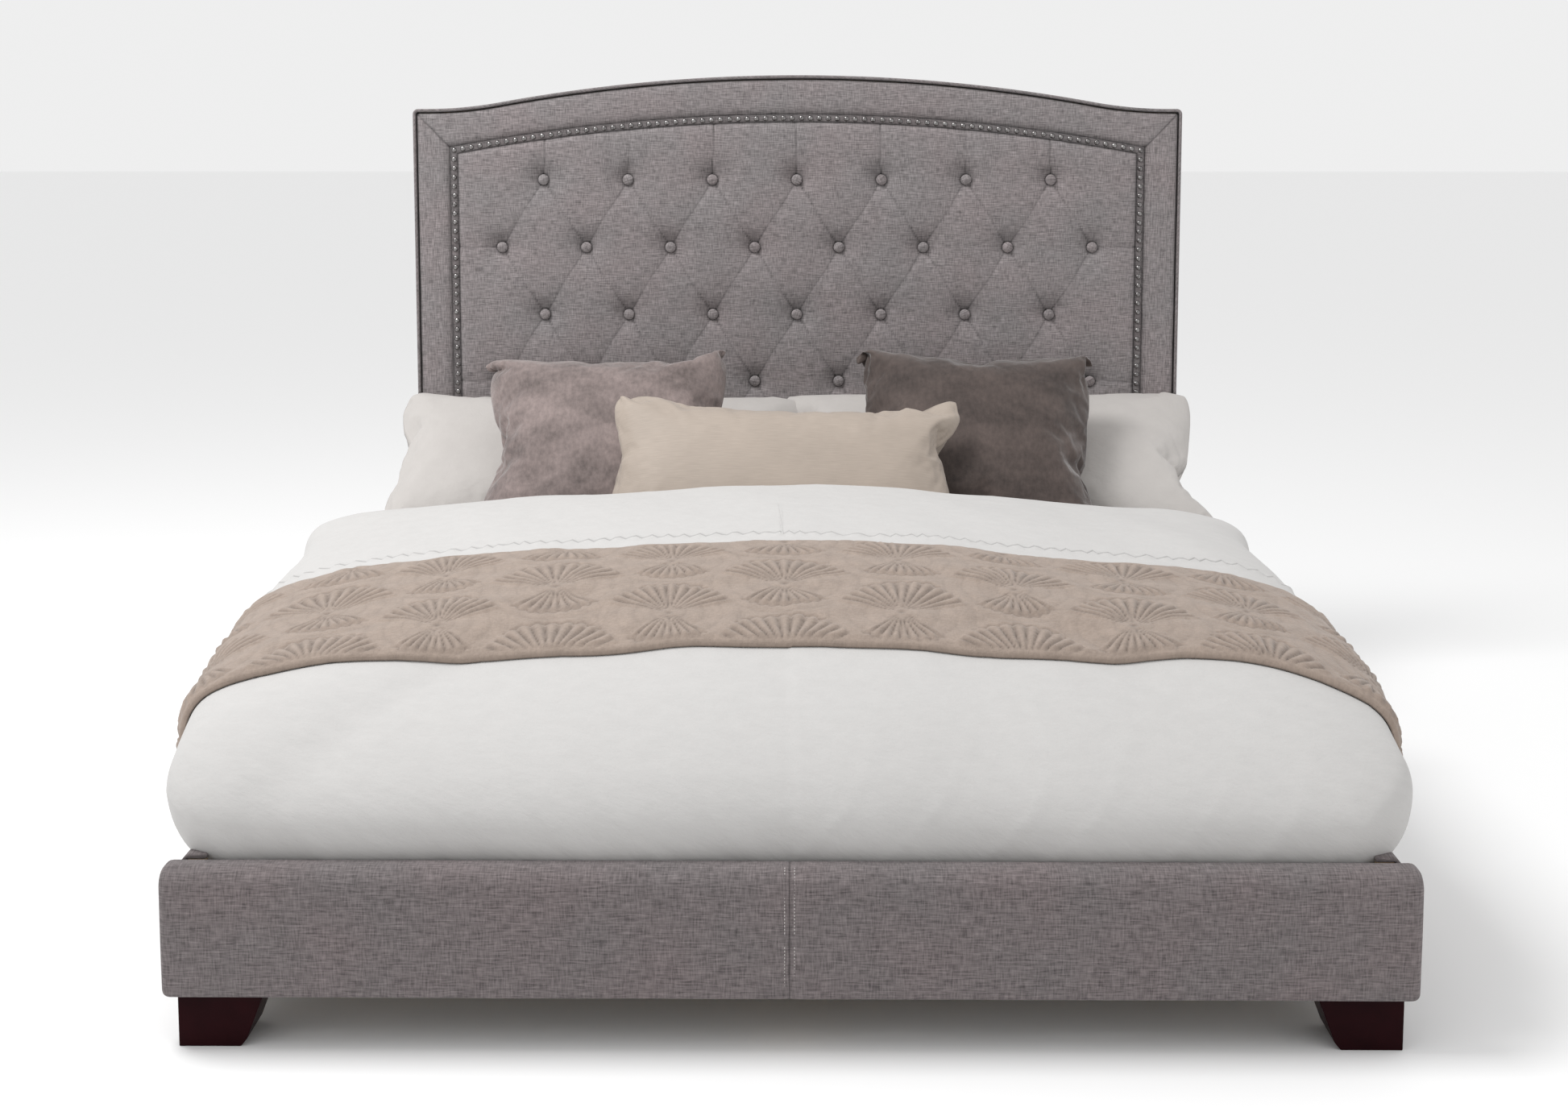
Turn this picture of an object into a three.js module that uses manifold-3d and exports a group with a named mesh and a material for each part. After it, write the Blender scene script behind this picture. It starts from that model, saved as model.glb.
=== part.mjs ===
// Upholstered headboard bed for a 1524 x 2032 mm mattress, with its bedding.
// Millimetres, +Z up. The foot end faces -Y and the headboard stands at +Y.
// The origin is on the floor, under the middle of the whole bed.

import * as THREE from 'three';
import { mergeVertices } from 'three/addons/utils/BufferGeometryUtils.js';
import Module from 'manifold-3d';

const wasm = await Module();
wasm.setup();

// ---------- driving dimensions ----------

const BED_LENGTH = 2235;
const BED_WIDTH = 1660;
const RAIL_TOP = 250;
const LEG_HEIGHT = 70;
const GAP = 0.3;
// How far a cutting shape passes the surface it cuts.
const OVERCUT = 1;
const CUTTER_BOTTOM = -10;

const FRONT_Y = -BED_LENGTH / 2;
const BACK_Y = BED_LENGTH / 2;

const MATTRESS = { width: 1524, length: 2032, bottom: 190, top: 400, corner: 80, headGap: 12 };
const FOOTBOARD = { thickness: 50, top: 245, board: 22, wrap: 12, frontPadding: 14, corner: 12 };
const FRONT_LEG = { width: 113, sole: 82, flare: 8, depth: 92, inset: 12, side: 20, kink: 10 };
const RAIL = { outer: 812, inner: 776, board: 22, wall: 11, lip: 6, corner: 8 };

const HEADBOARD = {
  thickness: 85,
  crest: 1320,
  shoulder: 1248,
  flatFrom: 800,
  blendFrom: 640,
  bottom: LEG_HEIGHT,
  cornerRadius: 12,
};
const BORDER_WIDTH = 88;
const BORDER_EDGE_GAP = 2;
const MITRE_GAP = 0.25;
const MITRE_REACH = 400;
const NAIL_STRIP_WIDTH = 17;
const NAIL_STRIP_SET_BACK = 2;
const PAD_DEPTH = 34;
const PLY_THICKNESS = 15;
const POST = { width: 60, depth: 32, x: 700, top: 1120 };
const CROSS_RAIL = { height: 70, low: 210, high: 1000, behindPanel: 8 };
const BACK_COVER_THICKNESS = 3;
const EDGE_BAND_THICKNESS = 8;
const WELT_RADIUS = 4;
const WELT_BOTTOM = LEG_HEIGHT + 5;
const PANEL_BOTTOM = LEG_HEIGHT + 10;
const TUFTED_BOTTOM = 430;

const BUTTON = { radius: 11.5, height: 7, shankRadius: 2, holeRadius: 3.5, holeLength: 80, pitch: 183 };
const TWINE = { radius: 1.2, behindPanel: 2, tieEnd: 4 };
const BUTTON_ROW_TOP = 1096;
const BUTTON_ROW_STEP = 146;
const BUTTON_ROWS = 5;
const BUTTON_SEAT = 14;

const SLAT = { count: 8, width: 70, thickness: 18, length: 1530, fromFoot: 170, fromHead: 90 };
const LEDGER = { width: 30, height: 40, endGap: 80 };
const BEAM = { width: 40, height: 60 };
const CENTRE_LEG = { side: 40, bottom: 20.5, count: 3 };
const FOOT = {
  radius: 17, rim: 6, topRadius: 13, height: 8, studRadius: 4, studLength: 45, holeRadius: 4.6, holeLength: 63,
};
const BRACKET = { leaf: 60, endLeaf: 40, height: 60, thickness: 3, bottom: 178 };
const BOLT = { headRadius: 8, headHeight: 4, shankRadius: 3.7, holeRadius: 4.1, reach: 16 };

// ---------- colours ----------

const fabric = (colour) => new THREE.MeshStandardMaterial({ color: colour, roughness: 0.95, metalness: 0 });
const timber = (colour) => new THREE.MeshStandardMaterial({ color: colour, roughness: 0.55, metalness: 0 });
const metal = (colour) => new THREE.MeshStandardMaterial({ color: colour, roughness: 0.35, metalness: 1 });

const LINEN = 0x7d7475;
const LINEN_LIGHT = 0x8a8283;
const PLYWOOD = 0xc2a478;
const PINE = 0xd2b789;
const ESPRESSO = 0x24110f;
const NICKEL = 0x9a9897;
const STEEL = 0x6f7276;
const PLASTIC = 0x262626;
const COTTON = 0xe6e4e0;
const TAUPE_VELVET = 0x75665f;
const CHAMPAGNE = 0xc4b49f;
const RUNNER = 0xab9a8d;
const DUST_COVER = 0x55504f;

// ---------- shape helpers ----------

// A closed three.js geometry as a manifold solid.
function solid(geometry) {
  const bare = geometry.clone();
  for (const name of Object.keys(bare.attributes)) {
    if (name !== 'position') bare.deleteAttribute(name);
  }
  const merged = mergeVertices(bare, 1e-3);
  return new wasm.Manifold(new wasm.Mesh({
    numProp: 3,
    vertProperties: Float32Array.from(merged.attributes.position.array),
    triVerts: Uint32Array.from(merged.index.array),
  }));
}

function fromSolid(manifold) {
  const mesh = manifold.getMesh();
  const geometry = new THREE.BufferGeometry();
  geometry.setAttribute('position', new THREE.BufferAttribute(Float32Array.from(mesh.vertProperties), 3));
  geometry.setIndex(new THREE.BufferAttribute(Uint32Array.from(mesh.triVerts), 1));
  geometry.computeVertexNormals();
  return geometry;
}

const cut = (body, tools) => fromSolid(tools.reduce((rest, tool) => rest.subtract(solid(tool)), solid(body)));
const join = (bodies) => fromSolid(bodies.map(solid).reduce((all, next) => all.add(next)));

// A block between two corners.
function block(x0, x1, y0, y1, z0, z1) {
  return new THREE.BoxGeometry(x1 - x0, y1 - y0, z1 - z0)
    .translate((x0 + x1) / 2, (y0 + y1) / 2, (z0 + z1) / 2);
}

// An outline in X and Z, extruded from y0 to y1.
function extrudeAlongY(shape, y0, y1, curveSegments = 4) {
  return new THREE.ExtrudeGeometry(shape, { depth: y1 - y0, bevelEnabled: false, curveSegments })
    .rotateX(Math.PI / 2)
    .translate(0, y1, 0);
}

// An outline in X and Z with rounded corners, extruded from y0 to y1.
function roundedBlock(x0, x1, y0, y1, z0, z1, radius, segments = 4) {
  const shape = new THREE.Shape()
    .moveTo(x0 + radius, z0)
    .lineTo(x1 - radius, z0)
    .absarc(x1 - radius, z0 + radius, radius, -Math.PI / 2, 0)
    .lineTo(x1, z1 - radius)
    .absarc(x1 - radius, z1 - radius, radius, 0, Math.PI / 2)
    .lineTo(x0 + radius, z1)
    .absarc(x0 + radius, z1 - radius, radius, Math.PI / 2, Math.PI)
    .lineTo(x0, z0 + radius)
    .absarc(x0 + radius, z0 + radius, radius, Math.PI, 1.5 * Math.PI);
  return extrudeAlongY(shape, y0, y1, segments);
}

// A block whose upright edges are rounded, between two corners.
function uprightRoundedBlock(x0, x1, y0, y1, z0, z1, radius) {
  return roundedBlock(x0, x1, z0, z1, -y1, -y0, radius).rotateX(Math.PI / 2);
}

const mirrorX = (geometry) => geometry.clone().rotateZ(Math.PI);

// A cylinder or prism along X, Y or Z, starting at a point.
function rod(axis, start, length, radius, sides) {
  const geometry = new THREE.CylinderGeometry(radius, radius, length, sides).translate(0, length / 2, 0);
  if (axis === 'z') geometry.rotateX(Math.PI / 2);
  if (axis === 'x') geometry.rotateZ(-Math.PI / 2);
  return geometry.translate(...start);
}

// A closed skin over a list of equal rings of points, capped at both ends.
function skin(rings) {
  const around = rings[0].length;
  const points = rings.flat();
  const faces = [];
  for (let i = 0; i + 1 < rings.length; i += 1) {
    for (let j = 0; j < around; j += 1) {
      const a = i * around + j;
      const b = i * around + ((j + 1) % around);
      faces.push(a, a + around, b, b, a + around, b + around);
    }
  }
  const last = (rings.length - 1) * around;
  for (let j = 1; j + 1 < around; j += 1) {
    faces.push(0, j, j + 1);
    faces.push(last, last + j + 1, last + j);
  }
  const geometry = new THREE.BufferGeometry().setFromPoints(points);
  geometry.setIndex(faces);
  return geometry;
}

const parts = new THREE.Group();

function add(name, geometry, material) {
  const mesh = new THREE.Mesh(geometry, material);
  mesh.name = name;
  parts.add(mesh);
  return mesh;
}

// ---------- headboard ----------

// Height of the top edge at x: a long arc in the middle that runs into flat shoulders.
function crestHeight(x) {
  const { crest, shoulder, flatFrom, blendFrom } = HEADBOARD;
  const distance = Math.min(Math.abs(x), flatFrom);
  const slope = (2 * (crest - shoulder)) / flatFrom;
  if (distance <= blendFrom) return crest - (slope * distance * distance) / (2 * blendFrom);
  const left = flatFrom - distance;
  return shoulder + (slope * left * left) / (2 * (flatFrom - blendFrom));
}

const HALF_WIDTH = BED_WIDTH / 2;
const CREST_STEPS = 24;

// The headboard's outline drawn in by an inset, down to a given height.
function headboardOutline(inset, bottom) {
  const half = HALF_WIDTH - inset;
  const radius = Math.max(HEADBOARD.cornerRadius - inset, 2);
  const corner = HEADBOARD.shoulder - inset - radius;
  const shape = new THREE.Shape().moveTo(-half, bottom).lineTo(half, bottom).lineTo(half, corner);
  shape.absarc(half - radius, corner, radius, 0, Math.PI / 2);
  const reach = Math.min(HEADBOARD.flatFrom, half - radius - 1);
  for (let i = 0; i <= CREST_STEPS; i += 1) {
    const x = reach - (2 * reach * i) / CREST_STEPS;
    shape.lineTo(x, crestHeight(x) - inset);
  }
  shape.lineTo(-half + radius, corner + radius);
  shape.absarc(-half + radius, corner, radius, Math.PI / 2, Math.PI);
  return shape;
}

const headFront = BACK_Y - HEADBOARD.thickness;
const plyFront = headFront + PAD_DEPTH;
const plyBack = plyFront + PLY_THICKNESS;
const postBack = plyBack + GAP + POST.depth;
const coverFront = BACK_Y - BACK_COVER_THICKNESS;

const nailOuter = HALF_WIDTH - BORDER_WIDTH + NAIL_STRIP_WIDTH / 2;
const nailInner = nailOuter - NAIL_STRIP_WIDTH;
const NAIL_ARC = { corner: 1159, centre: 1228 };

// Height of the nail line at x, and of the edges beside it: one long arc.
function nailHeight(x, offset = 0) {
  const half = HALF_WIDTH - BORDER_WIDTH;
  const rise = NAIL_ARC.centre - NAIL_ARC.corner;
  return NAIL_ARC.centre + offset - rise * (x / half) ** 2;
}

// The panel inside the nail line, grown by an offset, down to a given height.
function panelOutline(offset, bottom) {
  const half = HALF_WIDTH - BORDER_WIDTH + offset;
  const shape = new THREE.Shape().moveTo(-half, bottom).lineTo(half, bottom);
  for (let i = 0; i <= CREST_STEPS; i += 1) {
    const x = half - (2 * half * i) / CREST_STEPS;
    shape.lineTo(x, nailHeight(x, offset));
  }
  return shape;
}

function buttonCentres(row) {
  const inRow = row % 2 === 0 ? 7 : 8;
  const z = BUTTON_ROW_TOP - row * BUTTON_ROW_STEP;
  return Array.from({ length: inRow }, (_, i) => [(i - (inRow - 1) / 2) * BUTTON.pitch, z]);
}

const rows = Array.from({ length: BUTTON_ROWS }, (_, row) => buttonCentres(row));
const buttonHoles = rows.flat().map(
  ([x, z]) => rod('y', [x, headFront - OVERCUT, z], BUTTON.holeLength, BUTTON.holeRadius, 6));

function borderPads() {
  const outer = extrudeAlongY(
    headboardOutline(EDGE_BAND_THICKNESS + BORDER_EDGE_GAP, TUFTED_BOTTOM), headFront, plyFront - GAP);
  const inner = extrudeAlongY(
    panelOutline(NAIL_STRIP_WIDTH / 2 + GAP, 0), headFront - OVERCUT, plyFront + OVERCUT);
  const frame = solid(outer).subtract(solid(inner));
  const mitre = (side) => {
    const reach = MITRE_REACH;
    const inside = HALF_WIDTH - BORDER_WIDTH;
    const slope = (HEADBOARD.shoulder - NAIL_ARC.corner) / BORDER_WIDTH;
    const shape = new THREE.Shape()
      .moveTo(side * (inside - reach), NAIL_ARC.corner - slope * reach)
      .lineTo(side * (HALF_WIDTH + reach), HEADBOARD.shoulder + slope * reach)
      .lineTo(side * (HALF_WIDTH + reach), -reach)
      .lineTo(side * (inside - reach), -reach);
    return solid(extrudeAlongY(shape, headFront - OVERCUT, plyFront + OVERCUT));
  };
  const left = mitre(-1);
  const right = mitre(1);
  const up = [0, MITRE_GAP, MITRE_GAP];
  const down = [0, 0, -MITRE_GAP];
  const top = frame.subtract(left.translate(up)).subtract(right.translate(up));
  add('headboard_border_top', fromSolid(top), fabric(LINEN_LIGHT));
  add('headboard_border_left', fromSolid(frame.intersect(left.translate(down))), fabric(LINEN_LIGHT));
  add('headboard_border_right', fromSolid(frame.intersect(right.translate(down))), fabric(LINEN_LIGHT));
}

function nailStrip() {
  const outer = extrudeAlongY(
    panelOutline(NAIL_STRIP_WIDTH / 2, TUFTED_BOTTOM), headFront + NAIL_STRIP_SET_BACK, plyFront - GAP);
  const inner = extrudeAlongY(panelOutline(-NAIL_STRIP_WIDTH / 2, 0), headFront, plyFront + OVERCUT);
  add('headboard_nail_strip', cut(outer, [inner]), metal(NICKEL));
}

function buttonRow(row) {
  const seat = headFront + BUTTON_SEAT;
  const { radius, height, shankRadius } = BUTTON;
  const tie = plyBack + TWINE.tieEnd;
  const profile = [
    [0, 0], [radius * 0.6, 1], [radius, height * 0.5], [radius, height - GAP],
    [shankRadius, height - GAP], [shankRadius, tie - seat + height], [0, tie - seat + height],
  ].map(([r, y]) => new THREE.Vector2(r, y));
  const centres = rows[row];
  const buttons = centres.map(([x, z]) => new THREE.LatheGeometry(profile, 8).translate(x, seat - height, z));
  const first = centres[0];
  const last = centres[centres.length - 1];
  const twine = rod('x', [first[0], plyBack + TWINE.behindPanel, first[1]], last[0] - first[0], TWINE.radius, 5);
  add(`headboard_button_row_${row + 1}`, join([...buttons, twine]), fabric(LINEN));
}

function welt() {
  const y0 = headFront + 1;
  const y1 = y0 + 2 * WELT_RADIUS;
  const outer = extrudeAlongY(headboardOutline(0, WELT_BOTTOM), y0, y1);
  const inner = extrudeAlongY(headboardOutline(2 * WELT_RADIUS, CUTTER_BOTTOM), y0 - OVERCUT, y1 + OVERCUT);
  add('headboard_welt', cut(outer, [inner]), fabric(LINEN));
}

function headboard() {
  const panel = extrudeAlongY(headboardOutline(EDGE_BAND_THICKNESS + GAP, PANEL_BOTTOM), plyFront, plyBack);
  add('headboard_panel', cut(panel, buttonHoles), timber(PLYWOOD));

  const pad = extrudeAlongY(
    panelOutline(-NAIL_STRIP_WIDTH / 2 - GAP, TUFTED_BOTTOM), headFront + BUTTON_SEAT, plyFront - GAP);
  add('headboard_tufted_pad', cut(pad, buttonHoles), fabric(LINEN_LIGHT));

  borderPads();
  nailStrip();
  rows.forEach((_, row) => buttonRow(row));
  welt();

  const lowerHalf = HALF_WIDTH - EDGE_BAND_THICKNESS - GAP;
  add('headboard_lower_pad',
    block(-lowerHalf, lowerHalf, headFront, plyFront - GAP, HEADBOARD.bottom, TUFTED_BOTTOM - GAP), fabric(LINEN));

  const bandFront = headFront + 2 * WELT_RADIUS + 1 + GAP;
  const bandOuter = extrudeAlongY(headboardOutline(0, HEADBOARD.bottom), bandFront, coverFront - GAP);
  const bandInner = extrudeAlongY(
    headboardOutline(EDGE_BAND_THICKNESS, CUTTER_BOTTOM), bandFront - OVERCUT, coverFront + OVERCUT);
  add('headboard_edge_band', cut(bandOuter, [bandInner]), fabric(LINEN));

  for (const [side, word] of [[-1, 'left'], [1, 'right']]) {
    const x = side * POST.x;
    add(`headboard_post_${word}`,
      block(x - POST.width / 2, x + POST.width / 2, plyBack + GAP, postBack, 0, POST.top), timber(PINE));
  }
  const railHalf = POST.x - POST.width / 2 - GAP;
  for (const [word, z] of [['bottom', CROSS_RAIL.low], ['top', CROSS_RAIL.high]]) {
    add(`headboard_cross_rail_${word}`,
      block(-railHalf, railHalf, plyBack + CROSS_RAIL.behindPanel, postBack, z, z + CROSS_RAIL.height), timber(PINE));
  }

  const cover = extrudeAlongY(headboardOutline(0, HEADBOARD.bottom), coverFront, BACK_Y);
  add('headboard_back_cover', cover, fabric(DUST_COVER));
}

// ---------- footboard ----------

function footboardLeg(side) {
  const outer = HALF_WIDTH - FRONT_LEG.side;
  const top = LEG_HEIGHT - GAP;
  const y0 = FRONT_Y + FRONT_LEG.inset;
  const y1 = y0 + FRONT_LEG.depth;
  const shape = new THREE.Shape()
    .moveTo(outer, 0)
    .lineTo(outer, top)
    .lineTo(outer - FRONT_LEG.width, top)
    .lineTo(outer - FRONT_LEG.sole - FRONT_LEG.flare, FRONT_LEG.kink)
    .lineTo(outer - FRONT_LEG.sole, 0);
  const leg = extrudeAlongY(shape, y0, y1);
  return side > 0 ? leg : mirrorX(leg).translate(0, y0 + y1, 0);
}

function footboard() {
  const { thickness, top, board, wrap, frontPadding, corner } = FOOTBOARD;
  const backY = FRONT_Y + thickness;
  const boardHalf = HALF_WIDTH - wrap;
  const boardFront = FRONT_Y + frontPadding;
  const cover = roundedBlock(-HALF_WIDTH, HALF_WIDTH, FRONT_Y, backY, LEG_HEIGHT, top, corner);
  const pocket = block(-boardHalf - GAP, boardHalf + GAP, boardFront - GAP, boardFront + board + GAP,
    LEG_HEIGHT - OVERCUT, top - wrap + GAP);
  add('footboard_upholstery', cut(cover, [pocket]), fabric(LINEN));
  add('footboard_board',
    block(-boardHalf, boardHalf, boardFront, boardFront + board, LEG_HEIGHT, top - wrap), timber(PLYWOOD));
  add('footboard_leg_left', footboardLeg(-1), timber(ESPRESSO));
  add('footboard_leg_right', footboardLeg(1), timber(ESPRESSO));
}

// ---------- side rails, brackets and bolts ----------

function sideRails() {
  const y0 = FRONT_Y + FOOTBOARD.thickness + GAP;
  const y1 = headFront - GAP;
  const { outer, inner, board, wall, lip, corner } = RAIL;
  const boardOuter = outer - wall - GAP;
  const boardInner = boardOuter - board;
  const boltY = [y0 + BRACKET.leaf / 2, y1 - BRACKET.leaf / 2];
  const boltZ = BRACKET.bottom + BRACKET.height / 2;

  const shell = new THREE.Shape()
    .moveTo(inner, LEG_HEIGHT)
    .lineTo(outer, LEG_HEIGHT)
    .lineTo(outer, RAIL_TOP - corner)
    .absarc(outer - corner, RAIL_TOP - corner, corner, 0, Math.PI / 2)
    .lineTo(inner, RAIL_TOP)
    .lineTo(inner, RAIL_TOP - lip)
    .lineTo(outer - wall, RAIL_TOP - lip)
    .lineTo(outer - wall, LEG_HEIGHT + lip)
    .lineTo(inner, LEG_HEIGHT + lip);
  const cover = extrudeAlongY(shell, y0, y1);

  const boltHoles = boltY.map(
    (y) => rod('x', [boardInner - OVERCUT, y, boltZ], BOLT.reach + 2 * OVERCUT, BOLT.holeRadius, 6));
  const plank = cut(
    block(boardInner, boardOuter, y0, y1, LEG_HEIGHT + lip + GAP, RAIL_TOP - lip - GAP), boltHoles);

  const ledgerOuter = boardInner - GAP;
  const slatBottom = MATTRESS.bottom - GAP - SLAT.thickness;
  const ledger = block(ledgerOuter - LEDGER.width, ledgerOuter, y0 + LEDGER.endGap, y1 - LEDGER.endGap,
    slatBottom - GAP - LEDGER.height, slatBottom - GAP);

  // The bracket is one angle: a leaf on the rail and a leaf on the end board.
  const leafOuter = boardInner - GAP;
  const leafInner = leafOuter - BRACKET.thickness;
  const z0 = BRACKET.bottom;
  const z1 = BRACKET.bottom + BRACKET.height;
  const bracket = (end) => {
    const onRail = end < 0
      ? block(leafInner, leafOuter, y0, y0 + BRACKET.leaf, z0, z1)
      : block(leafInner, leafOuter, y1 - BRACKET.leaf, y1, z0, z1);
    const onEnd = end < 0
      ? block(leafOuter - BRACKET.endLeaf, leafOuter, y0, y0 + BRACKET.thickness, z0, z1)
      : block(leafOuter - BRACKET.endLeaf, leafOuter, y1 - BRACKET.thickness, y1, z0, z1);
    const hole = rod('x', [leafInner - OVERCUT, boltY[end < 0 ? 0 : 1], boltZ],
      BRACKET.thickness + 2 * OVERCUT, BOLT.holeRadius, 6);
    return fromSolid(solid(onRail).add(solid(onEnd)).subtract(solid(hole)));
  };
  const bolt = (end) => {
    const y = boltY[end < 0 ? 0 : 1];
    const profile = [
      [0, 0], [BOLT.headRadius, 0], [BOLT.headRadius, BOLT.headHeight], [BOLT.shankRadius, BOLT.headHeight],
      [BOLT.shankRadius, BOLT.headHeight + BOLT.reach], [0, BOLT.headHeight + BOLT.reach],
    ].map(([r, h]) => new THREE.Vector2(r, h));
    return new THREE.LatheGeometry(profile, 6)
      .rotateZ(-Math.PI / 2)
      .translate(leafInner - GAP - BOLT.headHeight, y, boltZ);
  };

  const middle = y0 + y1;
  for (const [side, word] of [[-1, 'left'], [1, 'right']]) {
    const place = (geometry) => (side > 0 ? geometry : mirrorX(geometry).translate(0, middle, 0));
    const endFor = (end) => (side > 0 ? end : -end);
    add(`side_rail_board_${word}`, place(plank), timber(PLYWOOD));
    add(`side_rail_upholstery_${word}`, place(cover), fabric(LINEN));
    add(`slat_ledger_${word}`, place(ledger), timber(PINE));
    for (const [end, where] of [[-1, 'foot'], [1, 'head']]) {
      add(`corner_bracket_${where}_${word}`, place(bracket(endFor(end))), metal(STEEL));
      add(`rail_bolt_${where}_${word}`, place(bolt(endFor(end))), metal(STEEL));
    }
  }
}

// ---------- slats, centre beam and its legs ----------

function mattressSupport() {
  const slatTop = MATTRESS.bottom - GAP;
  const slatBottom = slatTop - SLAT.thickness;
  const first = FRONT_Y + SLAT.fromFoot;
  const last = headFront - SLAT.fromHead;
  for (let i = 0; i < SLAT.count; i += 1) {
    const y = first + ((last - first) * i) / (SLAT.count - 1);
    add(`slat_${i + 1}`,
      block(-SLAT.length / 2, SLAT.length / 2, y - SLAT.width / 2, y + SLAT.width / 2, slatBottom, slatTop),
      timber(PINE));
  }

  const beamTop = slatBottom - GAP;
  const beamBottom = beamTop - BEAM.height;
  const beamFront = FRONT_Y + FOOTBOARD.thickness + GAP;
  add('centre_beam',
    block(-BEAM.width / 2, BEAM.width / 2, beamFront, headFront - GAP, beamBottom, beamTop), timber(PINE));

  const reach = (headFront - beamFront) / (CENTRE_LEG.count + 1);
  for (let i = 0; i < CENTRE_LEG.count; i += 1) {
    const y = beamFront + reach * (i + 1);
    const half = CENTRE_LEG.side / 2;
    const leg = block(-half, half, y - half, y + half, CENTRE_LEG.bottom, beamBottom - GAP);
    const hole = rod('z', [0, y, CENTRE_LEG.bottom - OVERCUT], FOOT.holeLength, FOOT.holeRadius, 10);
    add(`centre_leg_${i + 1}`, cut(leg, [hole]), timber(PINE));

    const profile = [
      [0, 0], [FOOT.radius, 0], [FOOT.radius, FOOT.rim], [FOOT.topRadius, FOOT.height],
      [FOOT.studRadius, FOOT.height], [FOOT.studRadius, FOOT.height + FOOT.studLength],
      [0, FOOT.height + FOOT.studLength],
    ].map(([r, h]) => new THREE.Vector2(r, h));
    add(`levelling_foot_${i + 1}`,
      new THREE.LatheGeometry(profile, 12).rotateX(Math.PI / 2).translate(0, y, 0),
      new THREE.MeshStandardMaterial({ color: PLASTIC, roughness: 0.5, metalness: 0 }));
  }
}

// ---------- bedding ----------

const mattressHead = headFront - MATTRESS.headGap;
const mattressFoot = mattressHead - MATTRESS.length;

const DUVET = {
  clearance: 1,
  headEnd: 300,
  footHeight: 455,
  headHeight: 531,
  halfWidthFoot: 845,
  halfWidthHead: 878,
  rise: 2.5,
  middle: 100,
  hem: 30,
  sideSquareness: 0.28,
  shoulderFullness: 0.52,
  footGap: 2,
  footLow: 110,
  footFullness: 0.8,
  footNarrowing: 0.025,
  roundedFoot: 204,
  roundSteps: 6,
  steps: 14,
  around: 28,
};
const RUNNER_BAND = { foot: -800, head: -360, low: 270, thickness: 9, clearance: 0.8 };

const PILLOW_CROWN = 0.6;
const SLEEPING_PILLOW = { width: 825, height: 450, thickness: 150, pull: 0.04, x: 416, y: 828, lean: 62 };
const VELVET_CUSHION = { side: 500, thickness: 150, pull: 0.09, leftX: -380, rightX: 365, y: 615, lean: 48, roll: 2 };
const LUMBAR_PILLOW = { width: 640, height: 320, thickness: 120, pull: 0.06, x: -20, y: 411, lean: 36, roll: 1.5 };

// Height of the duvet's top along the bed: low over the foot, full towards the head.
function duvetTop(y) {
  const t = THREE.MathUtils.clamp((y - mattressFoot) / (DUVET.headEnd - mattressFoot), 0, 1);
  return THREE.MathUtils.lerp(DUVET.footHeight, DUVET.headHeight, 1 - (1 - t) ** DUVET.rise);
}

// One cross-section of the duvet: a full, square-shouldered loaf standing on the rails.
function duvetRing(y, spread, height, widthScale = 1) {
  const t = THREE.MathUtils.clamp((y - mattressFoot) / (DUVET.headEnd - mattressFoot), 0, 1);
  const half = THREE.MathUtils.lerp(DUVET.halfWidthFoot, DUVET.halfWidthHead, t) * widthScale + spread;
  const bottom = RAIL_TOP + GAP;
  const middle = bottom + DUVET.middle;
  const ring = [new THREE.Vector3(half - DUVET.hem, y, bottom)];
  for (let i = 0; i <= DUVET.around; i += 1) {
    const angle = (Math.PI * i) / DUVET.around;
    const c = Math.cos(angle);
    const s = Math.sin(angle);
    const x = half * Math.sign(c) * Math.abs(c) ** DUVET.sideSquareness;
    const z = middle + (height - middle) * s ** DUVET.shoulderFullness;
    ring.push(new THREE.Vector3(x, y, z));
  }
  ring.push(new THREE.Vector3(-half + DUVET.hem, y, bottom));
  return ring;
}

function duvetLoaf(spread) {
  const rings = [];
  const front = FRONT_Y + FOOTBOARD.thickness + DUVET.footGap;
  const round = front + DUVET.roundedFoot;
  const low = RAIL_TOP + DUVET.footLow;
  for (let i = 0; i < DUVET.roundSteps; i += 1) {
    const angle = (Math.PI / 2) * (i / DUVET.roundSteps);
    const y = round - (round - front) * Math.cos(angle);
    const height = low + (duvetTop(round) - low) * Math.sin(angle) ** DUVET.footFullness + spread;
    rings.push(duvetRing(y, spread, height, 1 - DUVET.footNarrowing * (1 - Math.sin(angle))));
  }
  for (let i = 0; i <= DUVET.steps; i += 1) {
    const y = round + ((DUVET.headEnd - round) * i) / DUVET.steps;
    rings.push(duvetRing(y, spread, duvetTop(y) + spread));
  }
  return skin(rings);
}

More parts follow.
